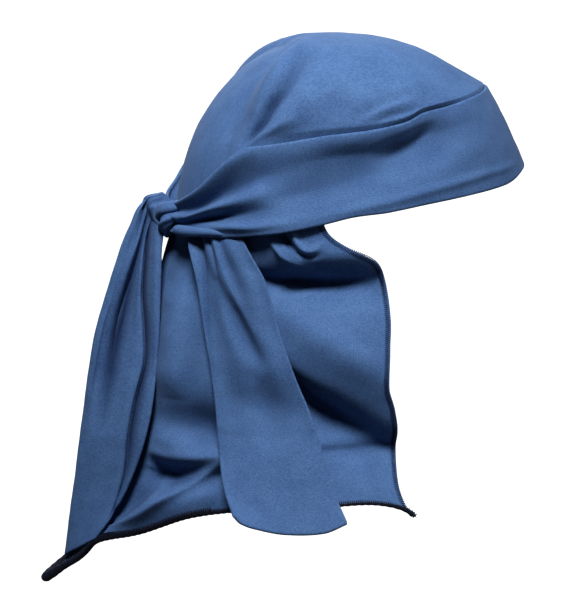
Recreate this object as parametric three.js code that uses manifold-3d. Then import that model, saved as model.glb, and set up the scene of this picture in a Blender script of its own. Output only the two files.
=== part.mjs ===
// A bandana cap of blue jersey. A soft crown is sewn into a wide folded headband, whose two ends are
// knotted at the nape over a long neck flap. One tie hangs down the near side, the other down the back.
// Millimetres. +X points to the forehead, +Y to the wearer's left, +Z up. The origin is the middle of
// the head opening, where the cap sits on the head. The wearer's right is the near side.
import * as THREE from "three";
import { mergeVertices } from "three/addons/utils/BufferGeometryUtils.js";
import Module from "manifold-3d";

const wasm = await Module();
wasm.setup();

// Cloth walls. The headband and the ties are two layers of jersey, and a rolled hem is three.
const CROWN_WALL = 1.5;
const BAND_WALL = 2.4;
const TIE_WALL = 2.2;
const FLAP_WALL = 1.4;
const HEM_WALL = 2.6;
const EDGE_WALL = 2;
const SEAM_GAP = 0.3;
const SEAM_RISE = 0.9;
const CUT_TOLERANCE = 0.06;

// The head opening in plan is an egg. Its reach changes with height, most of all at the brow,
// where the headband leans back from its lower edge to the crown seam.
const HEAD = {
  browReach: 112,
  browHeight: 22.5,
  browLean: 0.53,
  napeReach: 105.5,
  napeHeight: -15,
  napeLean: 0.065,
  halfWidth: 81,
  sideLean: 0.055,
};
const CROWN_TOP = { x: -6, y: 0, z: 101.6 };

// The headband from the forehead (turn 0) round either side to the nape (turn 180). low and top are the
// heights of its edges, lift is how far it stands off the head, gather is the depth of the folds that
// the knot pulls into it, and roll is the curl along its lower edge.
const HEADBAND = [
  { turn: 0, low: 22.5, top: 69.5, lift: 0, gather: 0, roll: 0 },
  { turn: 20, low: 19.5, top: 68, lift: 0, gather: 0, roll: 0 },
  { turn: 40, low: 14, top: 64, lift: 0, gather: 0, roll: 0 },
  { turn: 58, low: 9.6, top: 59, lift: 0, gather: 0, roll: 0 },
  { turn: 72, low: 5.8, top: 54.7, lift: 0, gather: 0, roll: 0 },
  { turn: 79, low: 3.6, top: 49.8, lift: 0, gather: 0, roll: 0 },
  { turn: 92, low: -1, top: 45, lift: 0, gather: 0, roll: 0 },
  { turn: 108, low: -8.4, top: 41.6, lift: 0, gather: 0, roll: 0.6 },
  { turn: 120, low: -12.6, top: 38, lift: 1.4, gather: 0.3, roll: 2 },
  { turn: 128, low: -14.2, top: 35.8, lift: 3.4, gather: 0.8, roll: 2.6 },
  { turn: 136, low: -15.6, top: 33, lift: 4.2, gather: 1.2, roll: 3 },
  { turn: 145, low: -16.4, top: 19.5, lift: 4.8, gather: 1.9, roll: 2.6 },
  { turn: 153, low: -16.4, top: 8, lift: 5.4, gather: 2.3, roll: 1.6 },
  { turn: 163, low: -16.4, top: 1, lift: 6.2, gather: 2.5, roll: 0.4 },
  { turn: 172, low: -15.6, top: -1, lift: 8, gather: 2.3, roll: 0 },
];
const BAND_FOLDS = 2;
const BAND_BELLY = 1.6;
const BAND_END = 170;
const ROLL_WIDTH = 0.14;
// The far end of the headband lies flatter on its way to the knot.
const FAR_END = { from: 136, to: 158, lift: 0.7 };

// The crown's lower edge follows the headband's seam to tuckTurn. From there it passes inside the
// headband and down to the neck flap.
const TUCK = { from: 128, to: 150, height: -9 };

// How the crown rises from its edge to the top, by turn. angle is its slope at the edge, and the two
// pulls say how long it keeps that slope and how flat the top is.
const CROWN = [
  { turn: 0, angle: 22, edgePull: 32, topPull: 44 },
  { turn: 45, angle: 42, edgePull: 30, topPull: 46 },
  { turn: 90, angle: 76, edgePull: 34, topPull: 47 },
  { turn: 135, angle: 88, edgePull: 58, topPull: 49 },
  { turn: 180, angle: 87, edgePull: 70, topPull: 49 },
];

// Folds seen from the side: a line from one place to another, with a half width and how far the cloth
// stands out along it (in, where negative). side is -1 for the near side, 1 for the far side, 0 for both.
const CROWN_FOLDS = [
  { name: "crease", side: -1, x1: -74, z1: 44, x2: -38, z2: 88, width: 7, out: -3.2 },
  { name: "crease_ridge", side: -1, x1: -72, z1: 42, x2: -40, z2: 62, width: 8, out: 2.4 },
  { name: "back_crease", side: 1, x1: -70, z1: 46, x2: -40, z2: 82, width: 9, out: -2 },
  { name: "temple_pucker", side: 0, x1: -8, z1: 62, x2: 24, z2: 72, width: 6, out: 1.4 },
];
const BAND_DENTS = [
  { name: "temple_dent", side: 0, x1: 14, z1: 38, x2: 44, z2: 58, width: 11, out: -3 },
];

// The neck flap from its spine at the centre back (along 0) to its front edge (along 1): where each
// station leaves the headband, and where it ends on the hem.
const FLAP = [
  { along: 0, turn: 180, hemX: -189, hemY: 0, hemZ: -230 },
  { along: 0.15, turn: 171, hemX: -157, hemY: 18, hemZ: -208 },
  { along: 0.3, turn: 161, hemX: -131, hemY: 38, hemZ: -195 },
  { along: 0.45, turn: 151, hemX: -104, hemY: 57, hemZ: -182 },
  { along: 0.62, turn: 139, hemX: -70, hemY: 76, hemZ: -176 },
  { along: 0.8, turn: 125, hemX: -28, hemY: 89, hemZ: -172 },
  { along: 0.93, turn: 114, hemX: 4, hemY: 93, hemZ: -172 },
  { along: 1, turn: 108, hemX: 21, hemY: 93, hemZ: -181 },
];
// How far the front edge stands forward of a straight line from top to hem, by height.
const FLAP_EDGE = [
  { drop: 0, forward: 0 },
  { drop: 0.08, forward: 3 },
  { drop: 0.16, forward: 24 },
  { drop: 0.22, forward: 27 },
  { drop: 0.35, forward: 22 },
  { drop: 0.45, forward: 15 },
  { drop: 0.57, forward: 7 },
  { drop: 0.65, forward: 7 },
  { drop: 0.78, forward: 4 },
  { drop: 0.9, forward: -5 },
  { drop: 0.97, forward: -6 },
  { drop: 1, forward: -3 },
];
// The flap's upper edge hides behind the headband: how far above its lower edge, and from which turn
// on it stays level under the crown's edge. Its folds start below the headband.
const FLAP_TUCK = 6;
const FLAP_LEVEL = { from: 128, to: 140 };
const FOLDS_START = { from: 0.04, to: 0.12 };
const FLAP_INSET = BAND_WALL + SEAM_GAP + 1;
// How far the middle of the flap hangs in from a straight line before it kicks out to its hem.
const FLAP_FLARE = [
  { drop: 0, inward: 0 },
  { drop: 0.4, inward: 2 },
  { drop: 0.66, inward: 9 },
  { drop: 0.83, inward: 13 },
  { drop: 0.92, inward: 14.5 },
  { drop: 0.96, inward: 13.5 },
  { drop: 1, inward: 0 },
];
const FLARE_REACH = 0.3;
const FLAP_FOLDS = [
  { name: "ear_swell", side: 0, x1: -50, z1: -26, x2: -8, z2: -27, width: 9, out: 4 },
  { name: "under_ear", side: 0, x1: -60, z1: -47, x2: 0, z2: -46, width: 11, out: -5.5 },
  { name: "cheek_swell", side: 0, x1: -32, z1: -78, x2: 20, z2: -98, width: 22, out: 6 },
  { name: "neck_hollow", side: -1, x1: -62, z1: -108, x2: 16, z2: -146, width: 13, out: -9 },
  { name: "far_hollow", side: 1, x1: -70, z1: -118, x2: 10, z2: -138, width: 16, out: -7 },
  { name: "hem_flare", side: 0, x1: -30, z1: -186, x2: 30, z2: -182, width: 24, out: 8 },
  { name: "nape_fold", side: 0, x1: -112, z1: -60, x2: -114, z2: -140, width: 11, out: 4 },
  { name: "nape_foot", side: 0, x1: -118, z1: -160, x2: -85, z2: -158, width: 10, out: -7 },
  { name: "hem_kick", side: 0, x1: -85, z1: -158, x2: -160, z2: -204, width: 9, out: 5 },
];

// The ties lie on the neck flap. left and right are their edges as stations of the flap, drop is how far
// down the flap they have come, off is how far they stand off it, gather is the depth of their
// folds, and squeeze is how much the folds overlap.
const NEAR_TIE = [
  { way: 0, left: 0.24, right: 0.56, drop: 0.014, off: 3.8, gather: 0.6, squeeze: 0.5 },
  { way: 0.06, left: 0.33, right: 0.665, drop: 0.05, off: 5.2, gather: 2, squeeze: 0.8 },
  { way: 0.17, left: 0.417, right: 0.688, drop: 0.166, off: 8, gather: 3.2, squeeze: 0.6 },
  { way: 0.36, left: 0.469, right: 0.718, drop: 0.371, off: 8, gather: 2.4, squeeze: 0.3 },
  { way: 0.55, left: 0.514, right: 0.765, drop: 0.577, off: 8, gather: 1.6, squeeze: 0.1 },
  { way: 0.73, left: 0.53, right: 0.79, drop: 0.749, off: 8, gather: 1, squeeze: 0 },
  { way: 0.88, left: 0.558, right: 0.815, drop: 0.906, off: 8, gather: 0.5, squeeze: 0 },
  { way: 1, left: 0.592, right: 0.824, drop: 1.011, off: 8, gather: 0, squeeze: 0 },
];
const NEAR_TIE_FOLDS = 2.5;
// How far the end of the near tie runs on below its left corner, from the left edge to the right.
const NEAR_TIE_END = [
  { across: 0, drop: 0 },
  { across: 0.07, drop: 0.03 },
  { across: 0.2, drop: 0.05 },
  { across: 0.45, drop: 0.073 },
  { across: 0.8, drop: 0.076 },
  { across: 1, drop: 0.05 },
];

// The back tie climbs out of the knot, bends over and hangs down the spine of the flap, folded along
// it like a roof. x and z are its ridge, reach is how far each half comes in from the ridge, spread
// is how far each half stands to its side, and gather is the depth of its folds.
const BACK_TIE = [
  { way: 0, x: -108.5, z: -1, reach: 2, spread: 6, gather: 0.5 },
  { way: 0.03, x: -114, z: 3.4, reach: 2.5, spread: 7.5, gather: 1 },
  { way: 0.065, x: -122.5, z: 3, reach: 3.5, spread: 8.5, gather: 1.4 },
  { way: 0.1, x: -129.5, z: -3.5, reach: 6, spread: 9.5, gather: 1.8 },
  { way: 0.14, x: -134, z: -13, reach: 12, spread: 11, gather: 2.2 },
  { way: 0.2, x: -139.5, z: -28, reach: 21.5, spread: 14, gather: 2.6 },
  { way: 0.4, x: -153.5, z: -78, reach: 33, spread: 24, gather: 2.4 },
  { way: 0.6, x: -162, z: -127, reach: 34, spread: 32, gather: 2.2 },
  { way: 0.8, x: -169, z: -175, reach: 28, spread: 28, gather: 1.6 },
  { way: 1, x: -175, z: -217, reach: 16, spread: 20, gather: 0.4 },
];
const BACK_TIE_FOLDS = 2;
const RIDGE_ROUND = 0.14;
// The end of the back tie slants up from its ridge to its two edges, above the hem.
const BACK_TIE_SLANT = 12;

// The knot: a core where the two ends of the headband cross, and one end wrapped round it.
const KNOT = { x: -114.5, z: -9.5 };
const KNOT_CORE = [
  { y: -15, radius: 3 },
  { y: -13.5, radius: 5 },
  { y: -10, radius: 6.4 },
  { y: 0, radius: 6 },
  { y: 10, radius: 6.4 },
  { y: 13.5, radius: 5 },
  { y: 15, radius: 3 },
];
const KNOT_PLEATS = { count: 5, depth: 0.5, twist: 6 };
// deep and tall are the half widths of the wrap's ring from the side, hump is how far its middle
// swells, and skew is how far its top leans to the far side.
const KNOT_WRAP = { deep: 5.9, tall: 7.6, thick: 2.6, wide: 13, hump: 0.7, skew: 3 };

const mix = (a, b, t) => a + (b - a) * t;
const clamp = (x, low, high) => Math.min(high, Math.max(low, x));
const smooth = (x) => x * x * (3 - 2 * x);
const ramp = (x, from, to) => smooth(clamp((x - from) / (to - from), 0, 1));
const radians = THREE.MathUtils.degToRad;

// All columns of a table at one value of its first column, on a smooth curve through its rows.
function sample(table, key, value) {
  const x = clamp(value, table[0][key], table[table.length - 1][key]);
  let i = 0;
  while (i < table.length - 2 && x > table[i + 1][key]) i += 1;
  const a = table[i];
  const b = table[i + 1];
  const span = b[key] - a[key];
  const t = (x - a[key]) / span;
  const row = {};
  for (const column of Object.keys(a)) {
    const before = table[Math.max(0, i - 1)];
    const after = table[Math.min(table.length - 1, i + 2)];
    const slopeA = ((b[column] - before[column]) / (b[key] - before[key])) * span;
    const slopeB = ((after[column] - a[column]) / (after[key] - a[key])) * span;
    const tt = t * t;
    const ttt = tt * t;
    row[column] =
      (2 * ttt - 3 * tt + 1) * a[column] +
      (ttt - 2 * tt + t) * slopeA +
      (3 * tt - 2 * ttt) * b[column] +
      (ttt - tt) * slopeB;
  }
  return row;
}

// How far the folds of a list push the cloth out at a point.
function foldLift(folds, point, side) {
  let lift = 0;
  for (const fold of folds) {
    if (fold.side !== 0 && fold.side !== side) continue;
    const dx = fold.x2 - fold.x1;
    const dz = fold.z2 - fold.z1;
    const way = ((point.x - fold.x1) * dx + (point.z - fold.z1) * dz) / (dx * dx + dz * dz);
    const t = clamp(way, 0, 1);
    const off = Math.hypot(point.x - fold.x1 - t * dx, point.z - fold.z1 - t * dz);
    lift += fold.out * Math.exp(-((off / fold.width) ** 2));
  }
  return lift;
}

// A point of the head opening's wall, at a turn from the forehead and a height.
function headPoint(turn, z) {
  const angle = radians(turn);
  const brow = HEAD.browReach - (z - HEAD.browHeight) * HEAD.browLean;
  const nape = HEAD.napeReach - (z - HEAD.napeHeight) * HEAD.napeLean;
  const reach = mix(nape, brow, (1 + Math.cos(angle)) / 2);
  const half = HEAD.halfWidth - z * HEAD.sideLean;
  return new THREE.Vector3(reach * Math.cos(angle), half * Math.sin(angle), z);
}

// The level direction away from the head at a turn.
function outward(turn) {
  const angle = radians(turn);
  const x = HEAD.halfWidth * Math.cos(angle);
  const y = HEAD.napeReach * Math.sin(angle);
  return new THREE.Vector3(x, y, 0).normalize();
}

// A closed wall of cloth from a grid of points on its outer face. rows run across, and a ring closes on
// itself. thickness is a number, or a function of the row and the column. mitre gives the direction of
// a rim that meets another wall, for a row and a column, or nothing.
function clothWall(grid, thickness, { ring = false, pole = false, mitre = () => null } = {}) {
  const rows = grid.length;
  const columns = grid[0].length;
  const wall = typeof thickness === "function" ? thickness : () => thickness;
  const at = (i, j) => {
    const row = grid[clamp(i, 0, rows - 1)];
    return row[ring ? (j + columns) % columns : clamp(j, 0, columns - 1)];
  };
  const positions = [];
  const put = (p) => positions.push(p.x, p.y, p.z) / 3 - 1;
  const outer = [];
  const inner = [];
  for (let i = 0; i < rows; i += 1) {
    outer.push([]);
    inner.push([]);
    for (let j = 0; j < columns; j += 1) {
      const across = at(i, j + 1).clone().sub(at(i, j - 1));
      const up = at(i + 1, j).clone().sub(at(i - 1, j));
      const normal = across.cross(up).normalize();
      const point = at(i, j);
      const onPole = pole && i === rows - 1;
      if (onPole) normal.set(0, 0, 1);
      outer[i].push(onPole && j > 0 ? outer[i][0] : put(point));
      const rim = mitre(i, j);
      const inwards = rim ? rim.clone().divideScalar(rim.dot(normal)) : normal;
      const inside = point.clone().addScaledVector(inwards, -wall(i, j));
      inner[i].push(onPole && j > 0 ? inner[i][0] : put(inside));
    }
  }
  const faces = [];
  const quad = (a, b, c, d) => {
    if (a !== b && b !== c && a !== c) faces.push(a, b, c);
    if (a !== c && c !== d && a !== d) faces.push(a, c, d);
  };
  const lastColumn = ring ? columns : columns - 1;
  const next = (j) => (ring ? (j + 1) % columns : j + 1);
  for (let i = 0; i < rows - 1; i += 1) {
    for (let j = 0; j < lastColumn; j += 1) {
      quad(outer[i][j], outer[i][next(j)], outer[i + 1][next(j)], outer[i + 1][j]);
      quad(inner[i][j], inner[i + 1][j], inner[i + 1][next(j)], inner[i][next(j)]);
    }
    if (!ring) {
      const end = columns - 1;
      quad(outer[i][0], outer[i + 1][0], inner[i + 1][0], inner[i][0]);
      quad(outer[i][end], inner[i][end], inner[i + 1][end], outer[i + 1][end]);
    }
  }
  for (let j = 0; j < lastColumn; j += 1) {
    quad(outer[0][j], inner[0][j], inner[0][next(j)], outer[0][next(j)]);
    if (!pole) {
      const end = rows - 1;
      quad(outer[end][j], outer[end][next(j)], inner[end][next(j)], inner[end][j]);
    }
  }
  const geometry = new THREE.BufferGeometry();
  geometry.setAttribute("position", new THREE.Float32BufferAttribute(positions, 3));
  geometry.setIndex(faces);
  return geometry;
}

// A closed body from a grid of points whose rows are rings. The rows close on each other, or each end
// is covered with a flat fan.
function closedBody(grid, { ringed = false } = {}) {
  const rows = grid.length;
  const columns = grid[0].length;
  const points = grid.flat();
  const faces = [];
  for (let i = 0; i < (ringed ? rows : rows - 1); i += 1) {
    for (let j = 0; j < columns; j += 1) {
      const here = i * columns + j;
      const right = i * columns + ((j + 1) % columns);
      const above = ((i + 1) % rows) * columns + j;
      const corner = ((i + 1) % rows) * columns + ((j + 1) % columns);
      faces.push(here, corner, right, here, above, corner);
    }
  }
  if (!ringed) {
    const first = points.length;
    points.push(middleOf(grid[0]), middleOf(grid[rows - 1]));
    for (let j = 0; j < columns; j += 1) {
      const next = (j + 1) % columns;
      const end = (rows - 1) * columns;
      faces.push(first, j, next, first + 1, end + next, end + j);
    }
  }
  const geometry = new THREE.BufferGeometry().setFromPoints(points);
  geometry.setIndex(faces);
  return geometry;
}
function middleOf(points) {
  return points.reduce((sum, p) => sum.add(p), new THREE.Vector3()).divideScalar(points.length);
}

// A three.js geometry as a solid that can be cut and joined, and back.
function solidOf(geometry) {
  const bare = geometry.clone();
  bare.deleteAttribute("normal");
  bare.deleteAttribute("uv");
  const merged = mergeVertices(bare, 1e-3);
  const mesh = new wasm.Mesh({
    numProp: 3,
    vertProperties: merged.attributes.position.array,
    triVerts: new Uint32Array(merged.index.array),
  });
  return new wasm.Manifold(mesh);
}
function geometryOf(solid) {
  const mesh = solid.getMesh();
  const geometry = new THREE.BufferGeometry();
  geometry.setAttribute("position", new THREE.Float32BufferAttribute(mesh.vertProperties, 3));
  geometry.setIndex([...mesh.triVerts]);
  return geometry;
}

// The largest body of a solid, without the crumbs and the tiny edges that a cut can leave.
function mainBody(solid) {
  const largest = solid.decompose().reduce((a, b) => (a.volume() > b.volume() ? a : b));
  return withoutTinyEdges(largest.asOriginal().simplify(CUT_TOLERANCE));
}
function withoutTinyEdges(solid) {
  const geometry = geometryOf(solid);
  const spots = geometry.attributes.position;
  const corners = [...geometry.index.array];
  const kept = Array.from({ length: spots.count }, (_, i) => i);
  const root = (i) => (kept[i] === i ? i : root(kept[i]));
  const place = (i) => new THREE.Vector3().fromBufferAttribute(spots, i);
  corners.forEach((corner, i) => {
    const next = corners[i % 3 === 2 ? i - 2 : i + 1];
    if (place(corner).distanceTo(place(next)) < CUT_TOLERANCE) kept[root(next)] = root(corner);
  });
  const faces = [];
  for (let i = 0; i < corners.length; i += 3) {
    const [a, b, c] = corners.slice(i, i + 3).map(root);
    if (a !== b && b !== c && c !== a) faces.push(a, b, c);
  }
  geometry.setIndex(faces);
  return solidOf(geometry);
}

function evenly(count, from, to) {
  return Array.from({ length: count + 1 }, (_, i) => mix(from, to, i / count));
}

// The headband's outer face: turn is signed, and high runs from its lower edge to the crown seam.
function bandPoint(turn, high) {
  const side = Math.sign(turn) || -1;
  const row = sample(HEADBAND, "turn", Math.abs(turn));
  const point = headPoint(turn, mix(row.low, row.top, high));
  const fold = row.gather * Math.cos(2 * Math.PI * BAND_FOLDS * high);
  const roll = row.roll * Math.exp(-((high / ROLL_WIDTH) ** 2));
  const belly = BAND_BELLY * Math.sin(Math.PI * high);
  const dent = foldLift(BAND_DENTS, point, side);
  const flatter = side > 0 ? mix(1, FAR_END.lift, ramp(turn, FAR_END.from, FAR_END.to)) : 1;
  return point.addScaledVector(outward(turn), row.lift * flatter + fold + roll + belly + dent);
}

function crownEdge(turn) {
  const size = Math.abs(turn);
  const seam = sample(HEADBAND, "turn", size).top + SEAM_RISE;
  return mix(seam, TUCK.height, ramp(size, TUCK.from, TUCK.to));
}

// The crown's outer face, from its edge (rise 0) to the top (rise 1).
function crownPoint(turn, rise) {
  const row = sample(CROWN, "turn", Math.abs(turn));
  const side = Math.sign(turn) || -1;
  const edge = headPoint(turn, crownEdge(turn));
  const top = new THREE.Vector3(CROWN_TOP.x, CROWN_TOP.y, CROWN_TOP.z);
  const inwards = new THREE.Vector3(top.x - edge.x, top.y - edge.y, 0).normalize();
  const slope = radians(row.angle);
  const edgePull = edge.clone().addScaledVector(inwards, row.edgePull * Math.cos(slope));
  edgePull.z += row.edgePull * Math.sin(slope);
  const topPull = top.clone().addScaledVector(inwards, -row.topPull);
  const point = new THREE.CubicBezierCurve3(edge, edgePull, topPull, top).getPoint(rise);
  const lift = foldLift(CROWN_FOLDS, point, side) * ramp(rise, 0, 0.08) * ramp(1 - rise, 0, 0.1);
  return point.addScaledVector(outward(turn), lift);
}

// The neck flap's outer face: along is signed, 0 at the spine and 1 at a front edge, and drop runs from
// the headband to the hem. folded is 0 for the smooth form that the ties lie on.
function flapPoint(along, drop, folded = 1) {
  const side = Math.sign(along) || -1;
  const size = Math.abs(along);
  const row = sample(FLAP, "along", size);
  const turn = row.turn * side;
  const low = sample(HEADBAND, "turn", row.turn).low;
  const topZ = mix(low + FLAP_TUCK, TUCK.height - SEAM_GAP, ramp(row.turn, FLAP_LEVEL.from, FLAP_LEVEL.to));
  const top = headPoint(turn, topZ).addScaledVector(outward(turn), -FLAP_INSET);
  const hem = new THREE.Vector3(row.hemX, row.hemY * side, row.hemZ);
  const point = top.lerp(hem, drop);
  const depth = clamp(drop, 0, 1);
  point.x += sample(FLAP_EDGE, "drop", depth).forward * size ** 4;
  point.x += sample(FLAP_FLARE, "drop", depth).inward * (1 - ramp(size, 0, FLARE_REACH));
  const free = folded * ramp(drop, FOLDS_START.from, FOLDS_START.to);
  return point.addScaledVector(outward(turn), free * foldLift(FLAP_FOLDS, point, side));
}

// The near tie's outer face, from the knot to its end (way) and from its left edge to its right (across).
function nearTiePoint(way, across) {
  const row = sample(NEAR_TIE, "way", way);
  const phase = 2 * Math.PI * NEAR_TIE_FOLDS * across;
  const slide = across - (row.squeeze * Math.sin(phase)) / (2 * Math.PI * NEAR_TIE_FOLDS);
  const along = mix(row.left, row.right, slide);
  const drop = row.drop + sample(NEAR_TIE_END, "across", across).drop * way ** 3;
  const point = flapPoint(-along, drop, 0);
  const toLeft = flapPoint(-along - 0.01, drop, 0).sub(point);
  const down = flapPoint(-along, drop + 0.01, 0).sub(point);
  const normal = down.cross(toLeft).normalize();
  return point.addScaledVector(normal, row.off + row.gather * Math.cos(phase));
}

// The back tie's outer face, from the knot to its end (way) and from its near edge (across -1) over the
// ridge to its far edge (across 1).
function backTiePoint(way, across) {
  const row = sample(BACK_TIE, "way", way);
  const before = sample(BACK_TIE, "way", way - 0.01);
  const after = sample(BACK_TIE, "way", way + 0.01);
  const tangent = new THREE.Vector3(after.x - before.x, 0, after.z - before.z).normalize();
  const inwards = new THREE.Vector3(-tangent.z, 0, tangent.x);
  const side = Math.sign(across) || 1;
  const size = Math.abs(across);
  const reach = (row.reach * size * size * (1 + RIDGE_ROUND)) / (size + RIDGE_ROUND);
  const point = new THREE.Vector3(row.x, row.spread * size * side, row.z).addScaledVector(inwards, reach);
  const outwards = new THREE.Vector3(0, side * row.reach, 0).addScaledVector(inwards, -row.spread);
  const fold = row.gather * Math.cos(2 * Math.PI * BACK_TIE_FOLDS * size) * ramp(size, 0, 0.3);
  point.z += BACK_TIE_SLANT * size * way ** 4;
  return point.addScaledVector(outwards.normalize(), fold);
}

// The knot's core, along the head's width, and the turn of cloth round it. grow makes them larger all
// round, to cut room for them out of the pieces that they touch.
function knotCoreGeometry(grow) {
  const stations = evenly(10, KNOT_CORE[0].y, KNOT_CORE[KNOT_CORE.length - 1].y);
  const grid = stations.map((y) => evenly(20, 0, 360).slice(0, -1).map((angle) => {
    const row = sample(KNOT_CORE, "y", y);
    const pleat = KNOT_PLEATS.depth * Math.cos(radians(angle * KNOT_PLEATS.count + y * KNOT_PLEATS.twist));
    const radius = row.radius + grow + pleat * ramp(row.radius, 3, 6);
    const spot = y * (1 + grow / KNOT_CORE[KNOT_CORE.length - 1].y);
    return new THREE.Vector3(
      KNOT.x + radius * Math.cos(radians(angle)),
      spot,
      KNOT.z + radius * Math.sin(radians(angle)),
    );
  }));
  return closedBody(grid);
}
function knotWrapGeometry(grow) {
  const { deep, tall, thick, wide, hump, skew } = KNOT_WRAP;
  const section = evenly(10, 0, 360).slice(0, -1);
  const grid = evenly(30, 0, 360).slice(0, -1).map((angle) => section.map((spin) => {
    const out = (thick / 2 + grow) * Math.sin(radians(spin));
    const y = (wide / 2 + grow) * Math.cos(radians(spin));
    const swell = hump * (1 - ((2 * y) / wide) ** 2);
    const c = Math.cos(radians(angle));
    const d = Math.sin(radians(angle));
    const across = KNOT.x + (deep + out + swell) * c;
    const height = KNOT.z + (tall + out + swell) * d;
    return new THREE.Vector3(across, y + skew * d, height);
  }));
  return closedBody(grid, { ringed: true });
}
// The direction in which the walls of the crown and the headband are both cut where they meet.
function seamMitre(turn) {
  const step = 0.5;
  const crownAcross = crownPoint(turn + step, 0).sub(crownPoint(turn - step, 0));
  const crownUp = crownPoint(turn, 0.02).sub(crownPoint(turn, 0));
  const bandAcross = bandPoint(turn + step, 1).sub(bandPoint(turn - step, 1));
  const bandUp = bandPoint(turn, 1).sub(bandPoint(turn, 0.97));
  const crownNormal = crownAcross.cross(crownUp).normalize();
  const bandNormal = bandAcross.cross(bandUp).normalize();
  return crownNormal.add(bandNormal).normalize();
}

function crownGeometry() {
  const turns = evenly(54, -180, 180).slice(0, -1);
  const rises = [0, 0.06, 0.13, 0.21, 0.3, 0.39, 0.48, 0.58, 0.68, 0.78, 0.87, 0.94, 1];
  const grid = rises.map((rise) => turns.map((turn) => crownPoint(turn, rise)));
  const mitre = (i, j) => (i === 0 && Math.abs(turns[j]) < TUCK.from ? seamMitre(turns[j]) : null);
  return clothWall(grid, CROWN_WALL, { ring: true, pole: true, mitre });
}

function bandGeometry() {
  const turns = evenly(66, -1, 1).map((t) => Math.sign(t) * BAND_END * (1 - (1 - Math.abs(t)) ** 1.25));
  const heights = [0, 0.07, 0.2, 0.32, 0.44, 0.56, 0.7, 0.85, 1];
  const grid = heights.map((high) => turns.map((turn) => bandPoint(turn, high)));
  const top = heights.length - 1;
  const mitre = (i, j) => (i === top && Math.abs(turns[j]) < TUCK.from ? seamMitre(turns[j]) : null);
  return clothWall(grid, BAND_WALL, { mitre });
}

function flapGeometry() {
  const stations = evenly(50, -1, 1).reverse();
  const drops = [0, 0.045, 0.1, 0.16, 0.23, 0.31, 0.4, 0.5, 0.6, 0.7, 0.79, 0.87, 0.93, 0.965, 1].reverse();
  const grid = drops.map((drop) => stations.map((along) => flapPoint(along, drop)));
  const wall = (i, j) => {
    if (i <= 1) return HEM_WALL;
    return j === 0 || j === stations.length - 1 ? EDGE_WALL : FLAP_WALL;
  };
  return clothWall(grid, wall);
}

function nearTieGeometry() {
  const ways = [0, 0.05, 0.11, 0.18, 0.27, 0.37, 0.48, 0.6, 0.72, 0.83, 0.92, 1].reverse();
  const steps = evenly(16, 0, 1);
  return clothWall(ways.map((way) => steps.map((across) => nearTiePoint(way, across))), TIE_WALL);
}

function backTieGeometry() {
  const ways = [0, 0.035, 0.07, 0.1, 0.13, 0.17, 0.22, 0.3, 0.4, 0.52, 0.64, 0.76, 0.88, 1].reverse();
  const steps = evenly(20, -1, 1);
  return clothWall(ways.map((way) => steps.map((across) => backTiePoint(way, across))), TIE_WALL);
}

// The knot's two pieces, and the room that is cut for them out of the pieces they hold.
const wrap = solidOf(knotWrapGeometry(0));
const core = mainBody(solidOf(knotCoreGeometry(0)).subtract(solidOf(knotWrapGeometry(SEAM_GAP))));
const knotRoom = solidOf(knotCoreGeometry(SEAM_GAP)).add(solidOf(knotWrapGeometry(SEAM_GAP)));
const makeRoom = (geometry) => geometryOf(mainBody(solidOf(geometry).subtract(knotRoom)));

const parts = {
  crown: crownGeometry(),
  headband: bandGeometry(),
  neck_flap: flapGeometry(),
  near_tie: nearTieGeometry(),
  back_tie: makeRoom(backTieGeometry()),
  knot_core: geometryOf(core),
  knot_wrap: geometryOf(wrap),
};

const colours = {
  crown: 0x4f7cb0,
  headband: 0x4a76aa,
  neck_flap: 0x41699b,
  near_tie: 0x4672a6,
  back_tie: 0x4470a4,
  knot_core: 0x3f6899,
  knot_wrap: 0x4872a8,
};
const cap = new THREE.Group();
for (const [name, geometry] of Object.entries(parts)) {
  const material = new THREE.MeshStandardMaterial({ color: colours[name], roughness: 0.92, metalness: 0 });
  const mesh = new THREE.Mesh(geometry, material);
  mesh.name = name;
  cap.add(mesh);
}
export default cap;
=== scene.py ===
# %% [markdown]
# # A bandana cap of blue jersey
# A soft crown is sewn into a wide folded headband. The headband's two ends are knotted at the nape over
# a long neck flap, and its two ties hang from the knot, one down the near side and one down the back.
# The cap hangs in the air in the shape that it has when worn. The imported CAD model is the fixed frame:
# it gives every piece its place and its size, and Blender adds the folds, the edges, the thread and the
# cloth.

# %% The frame
import math

import bpy
import numpy as np
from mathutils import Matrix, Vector, noise


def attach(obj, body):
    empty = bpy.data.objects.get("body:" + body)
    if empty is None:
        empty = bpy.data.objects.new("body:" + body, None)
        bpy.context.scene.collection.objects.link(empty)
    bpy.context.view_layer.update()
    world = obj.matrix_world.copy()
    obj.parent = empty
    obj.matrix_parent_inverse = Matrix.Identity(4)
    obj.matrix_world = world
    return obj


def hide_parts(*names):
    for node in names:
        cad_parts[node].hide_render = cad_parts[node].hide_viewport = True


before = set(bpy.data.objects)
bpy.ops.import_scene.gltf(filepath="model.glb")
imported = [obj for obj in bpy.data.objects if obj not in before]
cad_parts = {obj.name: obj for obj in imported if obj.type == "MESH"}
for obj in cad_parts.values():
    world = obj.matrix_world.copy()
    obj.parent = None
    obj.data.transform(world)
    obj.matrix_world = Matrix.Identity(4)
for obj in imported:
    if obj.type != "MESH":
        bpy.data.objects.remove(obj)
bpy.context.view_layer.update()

print("nodes:", sorted(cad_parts))

# %% [markdown]
# ## Smooth tables
# The cap is drawn as a pattern cutter draws: from measures at a few stations, with a smooth curve
# through them. The tables are the ones of the CAD source, in millimetres, so that the cloth in Blender
# lies where the solids are. numpy works out a whole sheet of points at a time.

# %% Tables and ramps
def table(names, *rows):
    return dict(zip(names.split(), np.array(rows, float).T))


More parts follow.
